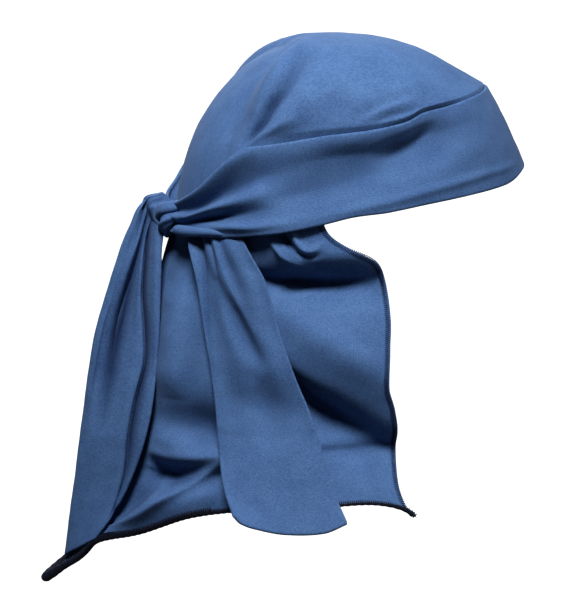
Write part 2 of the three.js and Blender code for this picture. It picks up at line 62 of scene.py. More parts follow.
def follow(rows, value):
    """All columns of a table at many values of its first column, on a smooth curve through its rows."""
    key = next(iter(rows))
    k = rows[key]
    x = np.clip(value, k[0], k[-1])
    i = np.clip(np.searchsorted(k, x) - 1, 0, len(k) - 2)
    span = k[i + 1] - k[i]
    t = (x - k[i]) / span
    low, high = np.r_[0, :len(k) - 1], np.r_[1:len(k), len(k) - 1]
    found = {}
    for name, v in rows.items():
        slope = (v[high] - v[low]) / (k[high] - k[low])
        found[name] = (
            (2 * t**3 - 3 * t**2 + 1) * v[i]
            + (t**3 - 2 * t**2 + t) * slope[i] * span
            + (3 * t**2 - 2 * t**3) * v[i + 1]
            + (t**3 - t**2) * slope[i + 1] * span
        )
    return found


def blend(a, b, t):
    return a + (b - a) * t


def ramp(x, start, end):
    t = np.clip((np.asarray(x, float) - start) / (end - start), 0, 1)
    return t * t * (3 - 2 * t)


def unit(v):
    return v / np.maximum(np.linalg.norm(v, axis=-1, keepdims=True), 1e-12)


def stack(x, y, z):
    return np.stack(np.broadcast_arrays(x, y, z), axis=-1).astype(float)


# %% [markdown]
# ## The drawing plane
# The camera stands where the photographer stood: a little behind the wearer's right side and a little
# above. The same numbers give each point of the cloth a place on the drawing, so a fold can be laid
# where it is seen. The far side is drawn as the near side seen in a mirror.

# %% The camera
AZIMUTH, ELEVATION = math.radians(-12), math.radians(8)
TARGET, DISTANCE, PIXEL = np.array([-39.0, 0.0, -63.0]), 1250.0, 0.62
WIDE, TALL = 567, 600
FOCAL = DISTANCE / PIXEL
BACK = np.array([
    math.sin(AZIMUTH) * math.cos(ELEVATION),
    -math.cos(AZIMUTH) * math.cos(ELEVATION),
    math.sin(ELEVATION),
])
RIGHT = np.array([math.cos(AZIMUTH), math.sin(AZIMUTH), 0.0])
UP = np.cross(BACK, RIGHT)
EYE = TARGET + BACK * DISTANCE

camera_data = bpy.data.cameras.new("camera")
camera_data.sensor_width = 36
camera_data.lens = FOCAL * 36 / TALL
camera_data.clip_end = 30
camera = bpy.data.objects.new("camera", camera_data)
bpy.context.collection.objects.link(camera)
camera.location = Vector(EYE) / 1000
camera.rotation_mode = "QUATERNION"
camera.rotation_quaternion = Vector(-BACK).to_track_quat("-Z", "Y")
bpy.context.scene.camera = camera
print(f"lens {camera_data.lens:.1f} mm at {DISTANCE / 1000:.2f} m")


# %% Places on the drawing
def drawn(points, side=-1):
    """Where points are seen on the drawing, or in a mirror for the far side."""
    away = points * np.array([1, -side, 1]) - EYE
    depth = -away @ BACK
    return WIDE / 2 + FOCAL * (away @ RIGHT) / depth, TALL / 2 - FOCAL * (away @ UP) / depth


def placed(x, y, depth):
    """The point seen at x, y on the drawing that lies at depth along Y."""
    x, y, depth = (np.asarray(v, float)[..., None] for v in (x, y, depth))
    ray = (x - WIDE / 2) / FOCAL * RIGHT - (y - TALL / 2) / FOCAL * UP - BACK
    return EYE + ray * (depth - EYE[1]) / ray[..., 1:2]


# %% [markdown]
# ## Folds
# A fold is a line on the drawing. Each of its stations has a place, how far the cloth stands out there
# in millimetres (in, where negative), and the half widths to the left and the right of the line. Its
# power is 2 for a soft swell and nearer 1 for a crisp crease. Folds laid one by one match the real cap
# more closely than a simulation, which would settle in folds of its own.

# %% Fold lines
def smooth_line(stations, parts=5):
    stations = np.array(stations, float)
    names = "step " + " ".join(f"c{i}" for i in range(stations.shape[1]))
    rows = table(names, *[(i, *s) for i, s in enumerate(stations)])
    found = follow(rows, np.linspace(0, len(stations) - 1, parts * (len(stations) - 1) + 1))
    return np.stack([found[name] for name in names.split()[1:]], axis=-1)


def line_lift(x, y, power, stations):
    """How far one fold lifts the cloth at places on the drawing."""
    path = smooth_line(stations)
    nearest, lift = np.full(x.shape, np.inf), np.zeros(x.shape)
    for a, b in zip(path, path[1:]):
        run = b - a
        t = np.clip(((x - a[0]) * run[0] + (y - a[1]) * run[1]) / (run[0]**2 + run[1]**2), 0, 1)
        dx, dy = x - a[0] - t * run[0], y - a[1] - t * run[1]
        away = np.hypot(dx, dy)
        on_right = run[0] * dy - run[1] * dx > 0
        width = np.where(on_right, a[4] + t * run[4], a[3] + t * run[3])
        value = (a[2] + t * run[2]) * np.exp(-((away / width) ** power))
        lift = np.where(away < nearest, value, lift)
        nearest = np.minimum(nearest, away)
    return lift


def fold_lift(points, folds, side):
    x, y = drawn(points, side)
    return sum(line_lift(x, y, power, stations) for power, stations in folds.values())


def some_folds(folds, names):
    return {name: folds[name] for name in names.split()}


def block_lift(points, folds, side):
    """The broad folds of the CAD source: x1, z1 to x2, z2, with a half width, seen from the side."""
    lift = np.zeros(points.shape[:-1])
    for only, x1, z1, x2, z2, width, out in folds.values():
        dx, dz = x2 - x1, z2 - z1
        t = np.clip(((points[..., 0] - x1) * dx + (points[..., 2] - z1) * dz) / (dx**2 + dz**2), 0, 1)
        off = np.hypot(points[..., 0] - x1 - t * dx, points[..., 2] - z1 - t * dz)
        lift += np.where((only == 0) | (only == side), out * np.exp(-((off / width) ** 2)), 0)
    return lift


# %% Ripples and normals
def ripple(points, *waves):
    """Gentle unevenness of the cloth. A wave is its height and its length in millimetres, and a seed."""
    lift = np.zeros(points.shape[:-1])
    for height, length, seed in waves:
        flat = points.reshape(-1, 3) / length + seed
        lift += height * np.array([noise.noise(Vector(p)) for p in flat]).reshape(lift.shape)
    return lift


def normals_of(grid, ring=False):
    if ring:
        across = np.roll(grid, -1, axis=1) - np.roll(grid, 1, axis=1)
    else:
        across = np.gradient(grid, axis=1)
    return unit(np.cross(across, np.gradient(grid, axis=0)))


def side_lift(grid, near, far, blur=12):
    """The near folds on a sheet's near side, and the far folds on its far side."""
    is_near = ramp(-grid[..., 1], -blur, blur)
    return fold_lift(grid, near, -1) * is_near + fold_lift(grid, far, 1) * (1 - is_near)


# %% [markdown]
# ## Walls of cloth
# A sheet of points becomes a closed shell: an outer face, an inner face behind it, and a round rim all
# the way along its edges. A Solidify modifier gives square rims, so the shell is built directly. Each
# face corner also gets its place on the flat cloth, in metres, as the UV map "cloth" for the knit.
# How deep each point lies down in a fold is kept too, as a point attribute. The knit's colour is darkened
# by it, a painted shade for the little light that finds its way out of the bottom of a fold in thick jersey.

# %% Closed shells
# A rim turns in RIM steps. A fold's depth is measured against the cloth within HOLLOW_REACH of it, and
# its painted shade is as dark as can be where it lies DEEP_HOLLOW below that cloth, both in millimetres.
RIM = 5
HOLLOW_REACH, DEEP_HOLLOW = 9.0, 4.5


def boundary(rows, columns, ring):
    if ring:
        return [(0, j) for j in range(columns)]
    bottom = [(0, j) for j in range(columns - 1)]
    right = [(i, columns - 1) for i in range(rows - 1)]
    top = [(rows - 1, j) for j in range(columns - 1, 0, -1)]
    left = [(i, 0) for i in range(rows - 1, 0, -1)]
    return bottom + right + top + left


def one_step_in(i, j, rows, columns, ring):
    """The point of the sheet next to i, j on its edge, away from the edge."""
    if i in (0, rows - 1):
        i = 1 if i == 0 else i - 1
    if not ring and j in (0, columns - 1):
        j = 1 if j == 0 else j - 1
    return i, j


def quads_of(index, flat):
    """Faces between the rows of an index grid, with their places on the flat cloth."""
    corners = [(slice(None, -1), slice(None, -1)), (slice(None, -1), slice(1, None)),
               (slice(1, None), slice(1, None)), (slice(1, None), slice(None, -1))]
    faces = np.stack([index[c] for c in corners], axis=-1).reshape(-1, 4)
    places = np.stack([flat[c] for c in corners], axis=-2).reshape(-1, 4, 2)
    return faces, places


def mesh_piece(name, points, faces, places, hollow=None):
    """An object at the origin from points in millimetres. Faces with a doubled corner become triangles."""
    polygons, uvs = [], []
    for face, place in zip(faces.tolist(), places.tolist()):
        keep = [i for i in range(4) if face[i] != face[i - 1]]
        if len(keep) > 2:
            polygons.append([face[i] for i in keep])
            uvs.extend(place[i] for i in keep)
    used, packed = np.unique(np.concatenate([np.array(p) for p in polygons]), return_inverse=True)
    starts = np.cumsum([0] + [len(p) for p in polygons])
    polygons = [packed[a:b].tolist() for a, b in zip(starts, starts[1:])]
    mesh = bpy.data.meshes.new(name)
    mesh.from_pydata((points[used] / 1000).tolist(), [], polygons)
    layer = mesh.uv_layers.new(name="cloth")
    layer.data.foreach_set("uv", np.array(uvs, np.float32).ravel())
    mesh.polygons.foreach_set("use_smooth", [True] * len(mesh.polygons))
    # The depth in the folds, kept for the painted shade in the knit's colour.
    hollow = np.zeros(len(points)) if hollow is None else hollow
    attribute = mesh.attributes.new("hollow", "FLOAT", "POINT")
    attribute.data.foreach_set("value", hollow[used].astype(np.float32))
    mesh.update()
    piece = bpy.data.objects.new(name, mesh)
    bpy.context.collection.objects.link(piece)
    return piece


def spread_out(values, cells, axis):
    """Each value averaged with its neighbours along one axis."""
    weights = np.bartlett(2 * cells + 3)[1:-1]
    weights /= weights.sum()

    def averaged(row):
        return np.convolve(np.pad(row, cells, mode="edge"), weights, "valid")

    return np.apply_along_axis(averaged, axis, values)


def hollows(grid, lift, reach):
    """How far each point lies down in a fold, from 0 to 1: the mask of the painted shade in the folds."""
    level = lift
    for axis in (0, 1):
        gap = np.linalg.norm(np.diff(grid, axis=axis), axis=-1).mean()
        level = spread_out(level, min(int(reach / gap), grid.shape[axis] // 2), axis)
    return np.clip((level - lift) / DEEP_HOLLOW, 0, 1)


def shell(name, smooth, lift, thickness, flat, ring=False, pole=False, toward=None, reach=HOLLOW_REACH):
    """A closed wall with round rims, from a smooth sheet of points and how far its folds lift them.

    A ring closes on itself across its columns, and a pole draws its last row together into one point.
    """
    rows, columns = smooth.shape[:2]
    thick = np.broadcast_to(np.asarray(thickness, float), smooth.shape[:2])
    normal = normals_of(smooth, ring)
    if pole:
        normal[-1] = (0, 0, 1)
    grid = smooth + (normal if toward is None else unit(toward + normal * 1e-3)) * lift[..., None]
    inner = grid - normal * thick[..., None]
    edge = boundary(rows, columns, ring)
    turns = [math.pi * k / RIM for k in range(1, RIM)]
    rim_rows = []
    for i, j in edge:
        off = grid[i, j] - grid[one_step_in(i, j, rows, columns, ring)]
        off = unit(off - normal[i, j] * (off @ normal[i, j]))
        radius = thick[i, j] / 2
        middle = grid[i, j] - normal[i, j] * radius
        rim_rows.append([middle + radius * (normal[i, j] * math.cos(t) + off * math.sin(t)) for t in turns])
    rim = np.array(rim_rows)
    size = rows * columns
    outer_index = np.arange(size).reshape(rows, columns)
    inner_index = outer_index + size
    if pole:
        outer_index[-1] = outer_index[-1, 0]
        inner_index[-1] = inner_index[-1, 0]
    edge_flat = np.array([flat[i, j] for i, j in edge] + [flat[edge[0]]])
    if ring:
        outer_index, inner_index = (np.c_[x, x[:, :1]] for x in (outer_index, inner_index))
        edge_flat[-1] = flat[0, columns]
    rim_index = 2 * size + np.arange(len(edge) * (RIM - 1)).reshape(len(edge), RIM - 1).T
    strip = np.vstack([
        [inner_index[i, j] for i, j in edge],
        rim_index[::-1],
        [outer_index[i, j] for i, j in edge],
    ])
    strip = np.c_[strip, strip[:, :1]]
    depth = np.linspace(-1, 0, RIM + 1)[:, None, None] * np.array([0, 0.002])
    outer_faces, outer_places = quads_of(outer_index, flat)
    inner_faces, inner_places = quads_of(inner_index, flat)
    rim_faces, rim_places = quads_of(strip, edge_flat[None] + depth)
    points = np.concatenate([grid.reshape(-1, 3), inner.reshape(-1, 3), rim.reshape(-1, 3)])
    faces = np.concatenate([outer_faces, inner_faces[:, ::-1], rim_faces])
    places = np.concatenate([outer_places, inner_places[:, ::-1], rim_places])
    # How deep each point lies in the folds: the mask of the painted shade.
    hollow = hollows(smooth, lift, reach)
    rim_painted_shade = np.repeat([hollow[i, j] for i, j in edge], RIM - 1)
    hollow = np.concatenate([hollow.ravel(), hollow.ravel(), rim_painted_shade])
    piece = mesh_piece(name, points, faces, places, hollow)
    print(f"{name}: {len(piece.data.polygons)} faces, folds {lift.min():.1f} to {lift.max():.1f} mm")
    return piece


# %% [markdown]
# ## The head opening
# In plan the opening is an egg. The brow leans back towards the crown seam, so the egg grows smaller
# with height, most of all at the forehead.

# %% The egg
# The opening reaches BROW forward at BROW_Z, NAPE back at NAPE_Z and HALF_WIDTH to each side at the
# middle. Each grows smaller by its own share of the height.
BROW, NAPE, HALF_WIDTH = 112, 105.5, 81
BROW_Z, NAPE_Z = 22.5, -15
BROW_LEAN, NAPE_LEAN, SIDE_LEAN = 0.53, 0.065, 0.055


def head_point(turn, z):
    angle = np.radians(turn)
    brow = BROW - (z - BROW_Z) * BROW_LEAN
    nape = NAPE - (z - NAPE_Z) * NAPE_LEAN
    reach = blend(nape, brow, (1 + np.cos(angle)) / 2)
    return stack(reach * np.cos(angle), (HALF_WIDTH - z * SIDE_LEAN) * np.sin(angle), z)


def outward(turn):
    angle = np.radians(turn)
    return unit(stack(HALF_WIDTH * np.cos(angle), NAPE * np.sin(angle), 0 * angle))


# The walls in millimetres, and the length and width in metres over which the knit lies on each sheet.
WALL = {"crown": 1.5, "headband": 2.4, "tie": 2.2, "flap": 1.4}
FLAT = {
    "headband": (0.56, 0.053), "flap": (0.47, 0.2), "near_tie": (0.18, 0.065), "back_tie": (0.235, 0.09),
}
print(f"opening {BROW + NAPE} mm long and {2 * HALF_WIDTH} mm wide")

# %% [markdown]
# ## The headband
# The headband is one wide strip of jersey folded double. It lies smooth over the forehead and the
# temples, and the knot draws its ends together into deep lengthwise folds. It is a sheet by turn from
# the forehead and height, pushed out and in along its folds.

# %% The headband's measures
HEADBAND = table(
    "turn low top lift gather roll",
    (0, 22.5, 69.5, 0, 0, 0),
    (20, 19.5, 68, 0, 0, 0),
    (40, 14, 64, 0, 0, 0),
    (58, 9.6, 59, 0, 0, 0),
    (72, 5.8, 54.7, 0, 0, 0),
    (79, 3.6, 49.8, 0, 0, 0),
    (92, -1, 45, 0, 0, 0),
    (108, -8.4, 41.6, 0, 0, 0.6),
    (120, -12.6, 38, 1.4, 0.3, 2),
    (128, -14.2, 35.8, 3.4, 0.8, 2.6),
    (136, -15.6, 33, 4.2, 1.2, 3),
    (145, -16.4, 19.5, 4.8, 1.9, 2.6),
    (153, -16.4, 8, 5.4, 2.3, 1.6),
    (163, -16.4, 1, 6.2, 2.5, 0.4),
    (172, -15.6, -1, 8, 2.3, 0),
)
BAND_BLOCK = {"temple_dent": (0, 14, 38, 44, 58, 11, -3)}
BAND_END = 170


def band_sheet(turn, high):
    side = np.where(turn > 0, 1, -1)
    row = follow(HEADBAND, abs(turn))
    point = head_point(turn, blend(row["low"], row["top"], high))
    gather = row["gather"] * np.cos(4 * np.pi * high)
    roll = row["roll"] * np.exp(-((high / 0.14) ** 2))
    flatter = np.where(side > 0, blend(1, 0.7, ramp(turn, 136, 158)), 1)
    out = row["lift"] * flatter + 1.6 * np.sin(np.pi * high)
    return point + outward(turn) * out[..., None], gather + roll + block_lift(point, BAND_BLOCK, side)


# %% The headband's folds
BAND_FOLDS = {
    "upper_valley": (1.7, [
        (182, 217, -1, 4, 3), (196, 208, -3.5, 5, 4), (212, 199, -6, 8, 5), (230, 190, -7, 11, 8),
        (250, 181, -5.5, 13, 11), (275, 173, -2, 12, 14), (300, 168, 0, 10, 14),
    ]),
    "middle_ridge": (2, [
        (186, 219, 0.6, 2.5, 2.5), (210, 210, 1.6, 4, 4), (240, 201, 1.4, 6, 6), (270, 194, 0, 8, 8),
    ]),
    "lower_valley": (1.6, [
        (184, 221, -2, 3, 3), (202, 219, -2.8, 4, 4), (226, 217, -3, 5, 5), (250, 213, -1.8, 7, 7),
        (285, 206, 0, 10, 9),
    ]),
    "top_roll": (2, [
        (176, 214, 1.6, 4, 4), (190, 203, 2.6, 5, 6), (208, 188, 3.2, 5, 8), (226, 168, 2.8, 5, 9),
        (244, 155, 1.2, 5, 8), (262, 150, 0, 5, 8),
    ]),
    "low_roll": (2, [
        (178, 224, 1, 4, 5), (205, 225, 1.8, 3, 5), (228, 226.5, 2, 3, 5), (253, 228, 1.6, 4, 5),
        (280, 224, 0.8, 5, 5), (320, 216, 0, 5, 5),
    ]),
    "low_under": (2, [
        (186, 235, 0, 5, 6), (205, 235, -3, 6, 7), (230, 235, -4, 7, 7), (255, 233, -2.6, 6, 6),
        (285, 228, 0, 5, 6),
    ]),
    "side_hollow": (2, [
        (256, 196, 0, 26, 14), (298, 192, -6, 34, 20), (342, 181, -9, 38, 24), (385, 165, -9, 34, 26),
        (415, 153, -8.5, 28, 28), (440, 141, -6.5, 24, 26), (462, 128, -2.5, 20, 20), (485, 116, 0, 14, 14),
    ]),
    "temple_dent": (2, [
        (372, 158, 0, 8, 10), (394, 149, -1.4, 8, 10), (415, 138, -1.8, 8, 9), (434, 124, -1, 7, 8),
        (446, 116, 0, 6, 8),
    ]),
    "dent_lip": (1.8, [
        (352, 152, 0, 6, 6), (385, 139, 1.2, 5, 6), (415, 124, 1.6, 4, 5), (432, 116, 0.8, 3, 4),
        (446, 110, 0, 3, 4),
    ]),
    "edge_light": (2, [
        (300, 221, 0, 4, 5), (360, 209, 1.2, 5, 5), (430, 191, 1.3, 5, 5), (500, 170, 0.8, 5, 4),
        (520, 162, 0, 4, 4),
    ]),
}
BAND_FAR_FOLDS = some_folds(
    BAND_FOLDS, "upper_valley lower_valley top_roll low_roll side_hollow temple_dent"
)


# The lower edge droops a little below the CAD solid's over the temple.
BAND_DROOP = 2.2


def band_shape(turn, high):
    """The headband's smooth sheet and how far its folds lift it. The crown's lower edge needs it too."""
    smooth, lift = band_sheet(turn, high)
    smooth[..., 2] -= BAND_DROOP * (1 - high) * ramp(abs(turn), 22, 40) * (1 - ramp(abs(turn), 86, 100))
    free = blend(ramp(1 - high, 0, 0.25), 1, ramp(abs(turn), 114, 130))
    lift = lift + side_lift(smooth, BAND_FOLDS, BAND_FAR_FOLDS) * free
    return smooth, lift + ripple(smooth, (0.5, 26, 3.1), (0.2, 9, 8.4)) * free


def make_headband():
    step = np.linspace(-1, 1, 421)
    turns = np.sign(step) * BAND_END * (1 - (1 - abs(step)) ** 1.25)
    turn, high = np.meshgrid(turns, np.linspace(0, 1, 57))
    smooth, lift = band_shape(turn, high)
    long, wide = FLAT["headband"]
    flat = np.stack([turn / BAND_END * long / 2, high * wide], axis=-1)
    return shell("headband_cloth", smooth, lift, WALL["headband"], flat)


headband = make_headband()

# %% [markdown]
# ## The crown
# The crown is a soft dome of one layer. It rises from the headband's seam to a low top, with a crease
# pulled in from the knot and small puckers at the temple. Each meridian is one Bezier curve. Its lower
# edge is tucked in behind the headband and follows the headband's inner face down, folds and all, which
# leaves the dark line of the seam.

# %% The crown's measures
CROWN_TOP = np.array([-6.0, 0.0, 101.6])
CROWN = table(
    "turn angle edge_pull top_pull",
    (0, 22, 32, 44),
    (45, 42, 30, 46),
    (90, 76, 34, 47),
    (135, 88, 58, 49),
    (180, 87, 70, 49),
)
CROWN_BLOCK = {
    "crease": (-1, -74, 44, -38, 88, 7, -3.2),
    "crease_ridge": (-1, -72, 42, -40, 62, 8, 2.4),
    "back_crease": (1, -70, 46, -40, 82, 9, -2),
    "temple_pucker": (0, -8, 62, 24, 72, 6, 1.4),
}
# The crown's edge lies SEAM_ABOVE over the headband's top. From TUCK_FROM to TUCK_TO degrees it sinks to
# TUCK_HEIGHT, behind the headband's two ends.
SEAM_ABOVE = 0.9
TUCK_FROM, TUCK_TO, TUCK_HEIGHT = 128, 150, -9


def crown_edge(turn):
    """The height of the crown's lower edge: at the seam in front, behind the headband's ends at the back."""
    seam = follow(HEADBAND, abs(turn))["top"] + SEAM_ABOVE
    return blend(seam, TUCK_HEIGHT, ramp(abs(turn), TUCK_FROM, TUCK_TO))


def crown_sheet(turn, rise):
    row = follow(CROWN, abs(turn))
    edge = head_point(turn, crown_edge(turn))
    slope = np.radians(row["angle"])
    inwards = CROWN_TOP - edge
    inwards[..., 2] = 0
    inwards = unit(inwards)
    low = edge + inwards * (row["edge_pull"] * np.cos(slope))[..., None]
    low[..., 2] += row["edge_pull"] * np.sin(slope)
    high = CROWN_TOP - inwards * row["top_pull"][..., None]
    t = rise[..., None]
    point = (1 - t)**3 * edge + 3 * (1 - t)**2 * t * low + 3 * (1 - t) * t**2 * high + t**3 * CROWN_TOP
    side = np.where(turn > 0, 1, -1)
    return point, block_lift(point, CROWN_BLOCK, side) * ramp(rise, 0, 0.08) * ramp(1 - rise, 0, 0.1)


# %% The crown's folds
CROWN_FOLDS = {
    "crease": (1.7, [
        (243, 146, -2, 4, 4), (252, 134, -5, 5, 5), (262, 121, -6, 5, 7), (271, 104, -5, 5, 7),
        (283, 88, -3, 5, 8), (293, 68, -2, 5, 8), (300, 46, -1, 5, 8),
    ]),
    "crease_edge": (1.6, [
        (240, 136, 0, 4, 4), (254, 114, 0.8, 4, 4), (268, 90, 0.8, 4, 4), (284, 62, 0.4, 4, 4),
    ]),
    "seam_ridge": (1.8, [
        (241, 151, 0.8, 3, 3), (258, 139, 2, 4, 4), (278, 127, 1.8, 5, 6), (306, 113, 0, 6, 8),
    ]),
    "small_dent": (2, [
        (246, 108, 0, 3, 3), (248, 119, -0.9, 3, 3), (249, 130, 0, 3, 3),
    ]),
    "pucker": (1.8, [
        (352, 127, 0, 3, 5), (376, 114, 1.3, 4, 5), (398, 105, 1.4, 4, 5), (424, 98, 0, 5, 5),
    ]),
    "pucker_low": (1.8, [
        (372, 124, 0, 3, 3), (392, 116, -1, 4, 3), (412, 110, -0.6, 3, 3), (424, 106, 0, 3, 3),
    ]),
}
CROWN_FAR_FOLDS = some_folds(CROWN_FOLDS, "crease seam_ridge pucker")
# The crown's first rows reach SEAM_TUCK down behind the headband, SEAM_INSET inside its inner face.
SEAM_TUCK, SEAM_INSET = 9, 0.8


def tucked_in(smooth, turn, tuck):
    """The crown's sheet with the rows below the headband's top moved onto the headband's inner face."""
    row = follow(HEADBAND, abs(turn))
    height = smooth[..., 2] - SEAM_TUCK * tuck * (1 - ramp(abs(turn), 128, 142))
    high = np.clip((height - row["low"]) / (row["top"] - row["low"]), 0, 1)
    inside, wall_lift = band_shape(turn, high)
    inside = inside + outward(turn) * (wall_lift - WALL["headband"] - SEAM_INSET)[..., None]
    under = np.maximum(ramp(tuck, 0, 0.5), ramp(row["top"] - height, 0, 4))
    return blend(smooth, inside, (under * (1 - ramp(abs(turn), 142, 154)))[..., None])


def make_crown():
    turns = np.linspace(-180, 180, 281)[:-1]
    rises = np.r_[np.linspace(0, 0.12, 18)[:-1], np.linspace(0.12, 1, 84)]
    turn, rise = np.meshgrid(turns, rises)
    smooth, lift = crown_sheet(turn, rise)
    lift = lift + side_lift(smooth, CROWN_FOLDS, CROWN_FAR_FOLDS)
    lift = lift + ripple(smooth, (0.7, 34, 1.7), (0.25, 11, 5.2))
    tuck = 1 - ramp(rise, 0, 0.035)
    lift = lift * ramp(1 - rise, 0, 0.06) * (1 - tuck)
    smooth = tucked_in(smooth, turn, tuck)
    smooth[-1] = smooth[-1].mean(axis=0)
    runs = np.linalg.norm(np.diff(smooth, axis=0), axis=-1)
    reach = np.vstack([np.cumsum(runs[::-1], axis=0)[::-1], np.zeros((1, len(turns)))]) / 1000
    angle = np.radians(np.r_[turns, 180])
    reach = np.c_[reach, reach[:, :1]]
    flat = np.stack([reach * np.cos(angle), reach * np.sin(angle)], axis=-1)
    return shell("crown_cloth", smooth, lift, WALL["crown"], flat, ring=True, pole=True)


crown = make_crown()

# %% [markdown]
# ## The neck flap
# The flap is a single layer that hangs from the headband down over the neck. Its spine runs down the
# back to a long point, and its front edges curl under the ears. Broad swells and hollows give its form,
# and finer folds fan out from where it is gathered under the headband.

# %% The flap's measures
FLAP = table(
    "along turn x y z",
    (0, 180, -189, 0, -230),
    (0.15, 171, -157, 18, -208),
    (0.3, 161, -131, 38, -195),
    (0.45, 151, -104, 57, -182),
    (0.62, 139, -70, 76, -176),
    (0.8, 125, -28, 89, -172),
    (0.93, 114, 4, 93, -172),
    (1, 108, 21, 93, -181),
)
FLAP_EDGE = table(
    "drop forward",
    (0, 0), (0.08, 3), (0.16, 24), (0.22, 27), (0.35, 22), (0.45, 15),
    (0.57, 7), (0.65, 7), (0.78, 4), (0.9, -5), (0.97, -6), (1, -3),
)
FLAP_FLARE = table(
    "drop inward",
    (0, 0), (0.4, 2), (0.66, 9), (0.83, 13), (0.92, 14.5), (0.96, 13.5), (1, 0),
)
FLAP_BLOCK = {
    "ear_swell": (0, -50, -26, -8, -27, 9, 4),
    "under_ear": (0, -60, -47, 0, -46, 11, -5.5),
    "cheek_swell": (0, -32, -78, 20, -98, 22, 6),
    "neck_hollow": (-1, -62, -108, 16, -146, 13, -9),
    "far_hollow": (1, -70, -118, 10, -138, 16, -7),
    "hem_flare": (0, -30, -186, 30, -182, 24, 8),
    "nape_fold": (0, -112, -60, -114, -140, 11, 4),
    "nape_foot": (0, -118, -160, -85, -158, 10, -7),
    "hem_kick": (0, -85, -158, -160, -204, 9, 5),
}
FLAP_INSET = 3.7


def flap_sheet(along, drop):
    side = np.where(along > 0, 1, -1)
    size = abs(along)
    row = follow(FLAP, size)
    turn = row["turn"] * side
    low = follow(HEADBAND, row["turn"])["low"]
    top_z = blend(low + 6, TUCK_HEIGHT - 0.3, ramp(row["turn"], 128, 140))
    top = head_point(turn, top_z) - outward(turn) * FLAP_INSET
    hem = stack(row["x"], row["y"] * side, row["z"])
    point = blend(top, hem, drop[..., None])
    depth = np.clip(drop, 0, 1)
    point[..., 0] += follow(FLAP_EDGE, depth)["forward"] * size**4
    point[..., 0] += follow(FLAP_FLARE, depth)["inward"] * (1 - ramp(size, 0, 0.3))
    return point


def flap_blocks(points, along, drop):
    return block_lift(points, FLAP_BLOCK, np.where(along > 0, 1, -1)) * ramp(drop, 0.04, 0.12)


# %% The flap's folds
FLAP_FOLDS = {
    "ear_gather": (1.5, [
        (266, 234, 1.6, 3, 3), (276, 247, 3, 4, 3), (288, 258, 2.8, 4, 4), (304, 268, 1, 4, 4),
        (316, 272, 0, 4, 4),
    ]),
    "ear_crease": (1.4, [
        (283, 234, -2.5, 2, 3), (291, 245, -3.6, 2.5, 3), (300, 253, -3, 3, 3), (314, 255, -1.4, 3, 3),
        (326, 250, 0, 3, 3),
    ]),
    "ear_dart": (1.6, [
        (290, 230, 2, 3, 3), (298, 243, 3, 3, 3), (308, 249, 2.8, 3, 3), (320, 245, 1.2, 3, 3),
        (330, 240, 0, 3, 3),
    ]),
    "under_ear": (1.8, [
        (246, 270, -2, 5, 6), (264, 280, -5, 7, 7), (295, 283, -9, 8, 9), (335, 283, -8, 8, 11),
        (368, 280, -3, 8, 11), (384, 274, -1, 8, 8),
    ]),
    "cheek_ridge": (2, [
        (262, 300, 0, 8, 10), (300, 326, 2, 16, 18), (345, 356, 3.4, 20, 22), (382, 380, 2.4, 16, 18),
    ]),
    "neck_crease": (1.8, [
        (256, 318, 0, 3, 4), (268, 346, -3, 4, 7), (284, 374, -7, 7, 14), (308, 398, -11, 10, 24),
        (338, 416, -11, 11, 28), (370, 434, -7, 11, 18), (398, 450, -1, 9, 10),
    ]),
    "hem_break": (1.6, [
        (300, 453, 0, 6, 40), (325, 452, -4.5, 6, 46), (360, 451, -7, 8, 48), (385, 448, -6, 9, 48),
        (403, 446, -4.5, 10, 46),
    ]),
    "nape_ridge": (2, [
        (176, 258, 0, 6, 7), (184, 300, 3, 9, 14), (182, 350, 5, 10, 18), (180, 378, 5, 10, 18),
        (178, 400, 0, 8, 14),
    ]),
    "nape_shadow": (2, [
        (160, 418, -3, 16, 14), (190, 427, -10.5, 23, 17), (226, 436, -10.5, 23, 16),
    ]),
    "foot_ridge": (1.9, [
        (154, 453, 2, 6, 6), (170, 459, 4, 8, 8), (195, 459, 4.8, 8, 8), (226, 454, 5, 7, 7),
    ]),
    "foot_hollow": (2, [
        (156, 473, -4.2, 8, 12), (176, 482, -3, 9, 12), (198, 481, -1.8, 9, 10), (216, 473, -1, 6, 7),
    ]),
    "kick_hollow": (1.8, [
        (153, 468, -2, 7, 9), (146, 490, -6.5, 9, 10), (130, 510, -7.5, 9, 9), (112, 530, -3, 6, 6),
    ]),
    "kick_ridge": (1.7, [
        (232, 456, 2, 5, 5), (208, 473, 5, 5, 8), (168, 499, 6, 5, 12), (125, 527, 4.5, 5, 12),
        (92, 546, 1, 4, 8),
    ]),
}
FLAP_FAR_FOLDS = some_folds(
    FLAP_FOLDS,
    "ear_gather ear_dart under_ear cheek_ridge neck_crease hem_break foot_ridge foot_hollow kick_hollow "
    "kick_ridge"
)


# Behind the knot the flap swells out by NAPE_SWELL, over NAPE_SHARE of its half width.
NAPE_SWELL, NAPE_SHARE = 4, 0.2


def make_flap():
    along, drop = np.meshgrid(np.linspace(1, -1, 285), np.linspace(1, 0, 165))
    smooth = flap_sheet(along, drop)
    lift = flap_blocks(smooth, along, drop) + side_lift(smooth, FLAP_FOLDS, FLAP_FAR_FOLDS, blur=4)
    lift = lift + NAPE_SWELL * np.exp(-((along / NAPE_SHARE) ** 2)) * (1 - ramp(drop, 0.06, 0.26))
    lift = lift + ripple(smooth, (0.9, 38, 2.3), (0.35, 13, 6.6)) * ramp(drop, 0.03, 0.1)
    long, wide = FLAT["flap"]
    flat = np.stack([-along * long / 2, -drop * wide], axis=-1)
    piece = shell("flap_cloth", smooth, lift, WALL["flap"], flat)
    return piece, smooth + normals_of(smooth) * lift[..., None]


flap, flap_points = make_flap()

# %% [markdown]
# ## The ties
# Each tie is a tapered strip of double jersey that leaves the knot in tight pleats and opens out as it
# hangs. The near tie lies on the flap, so it is measured on the flap's own stations and stands off it,
# and its end kicks out. The back tie bends over the knot and hangs down the spine, folded along it
# like a roof.

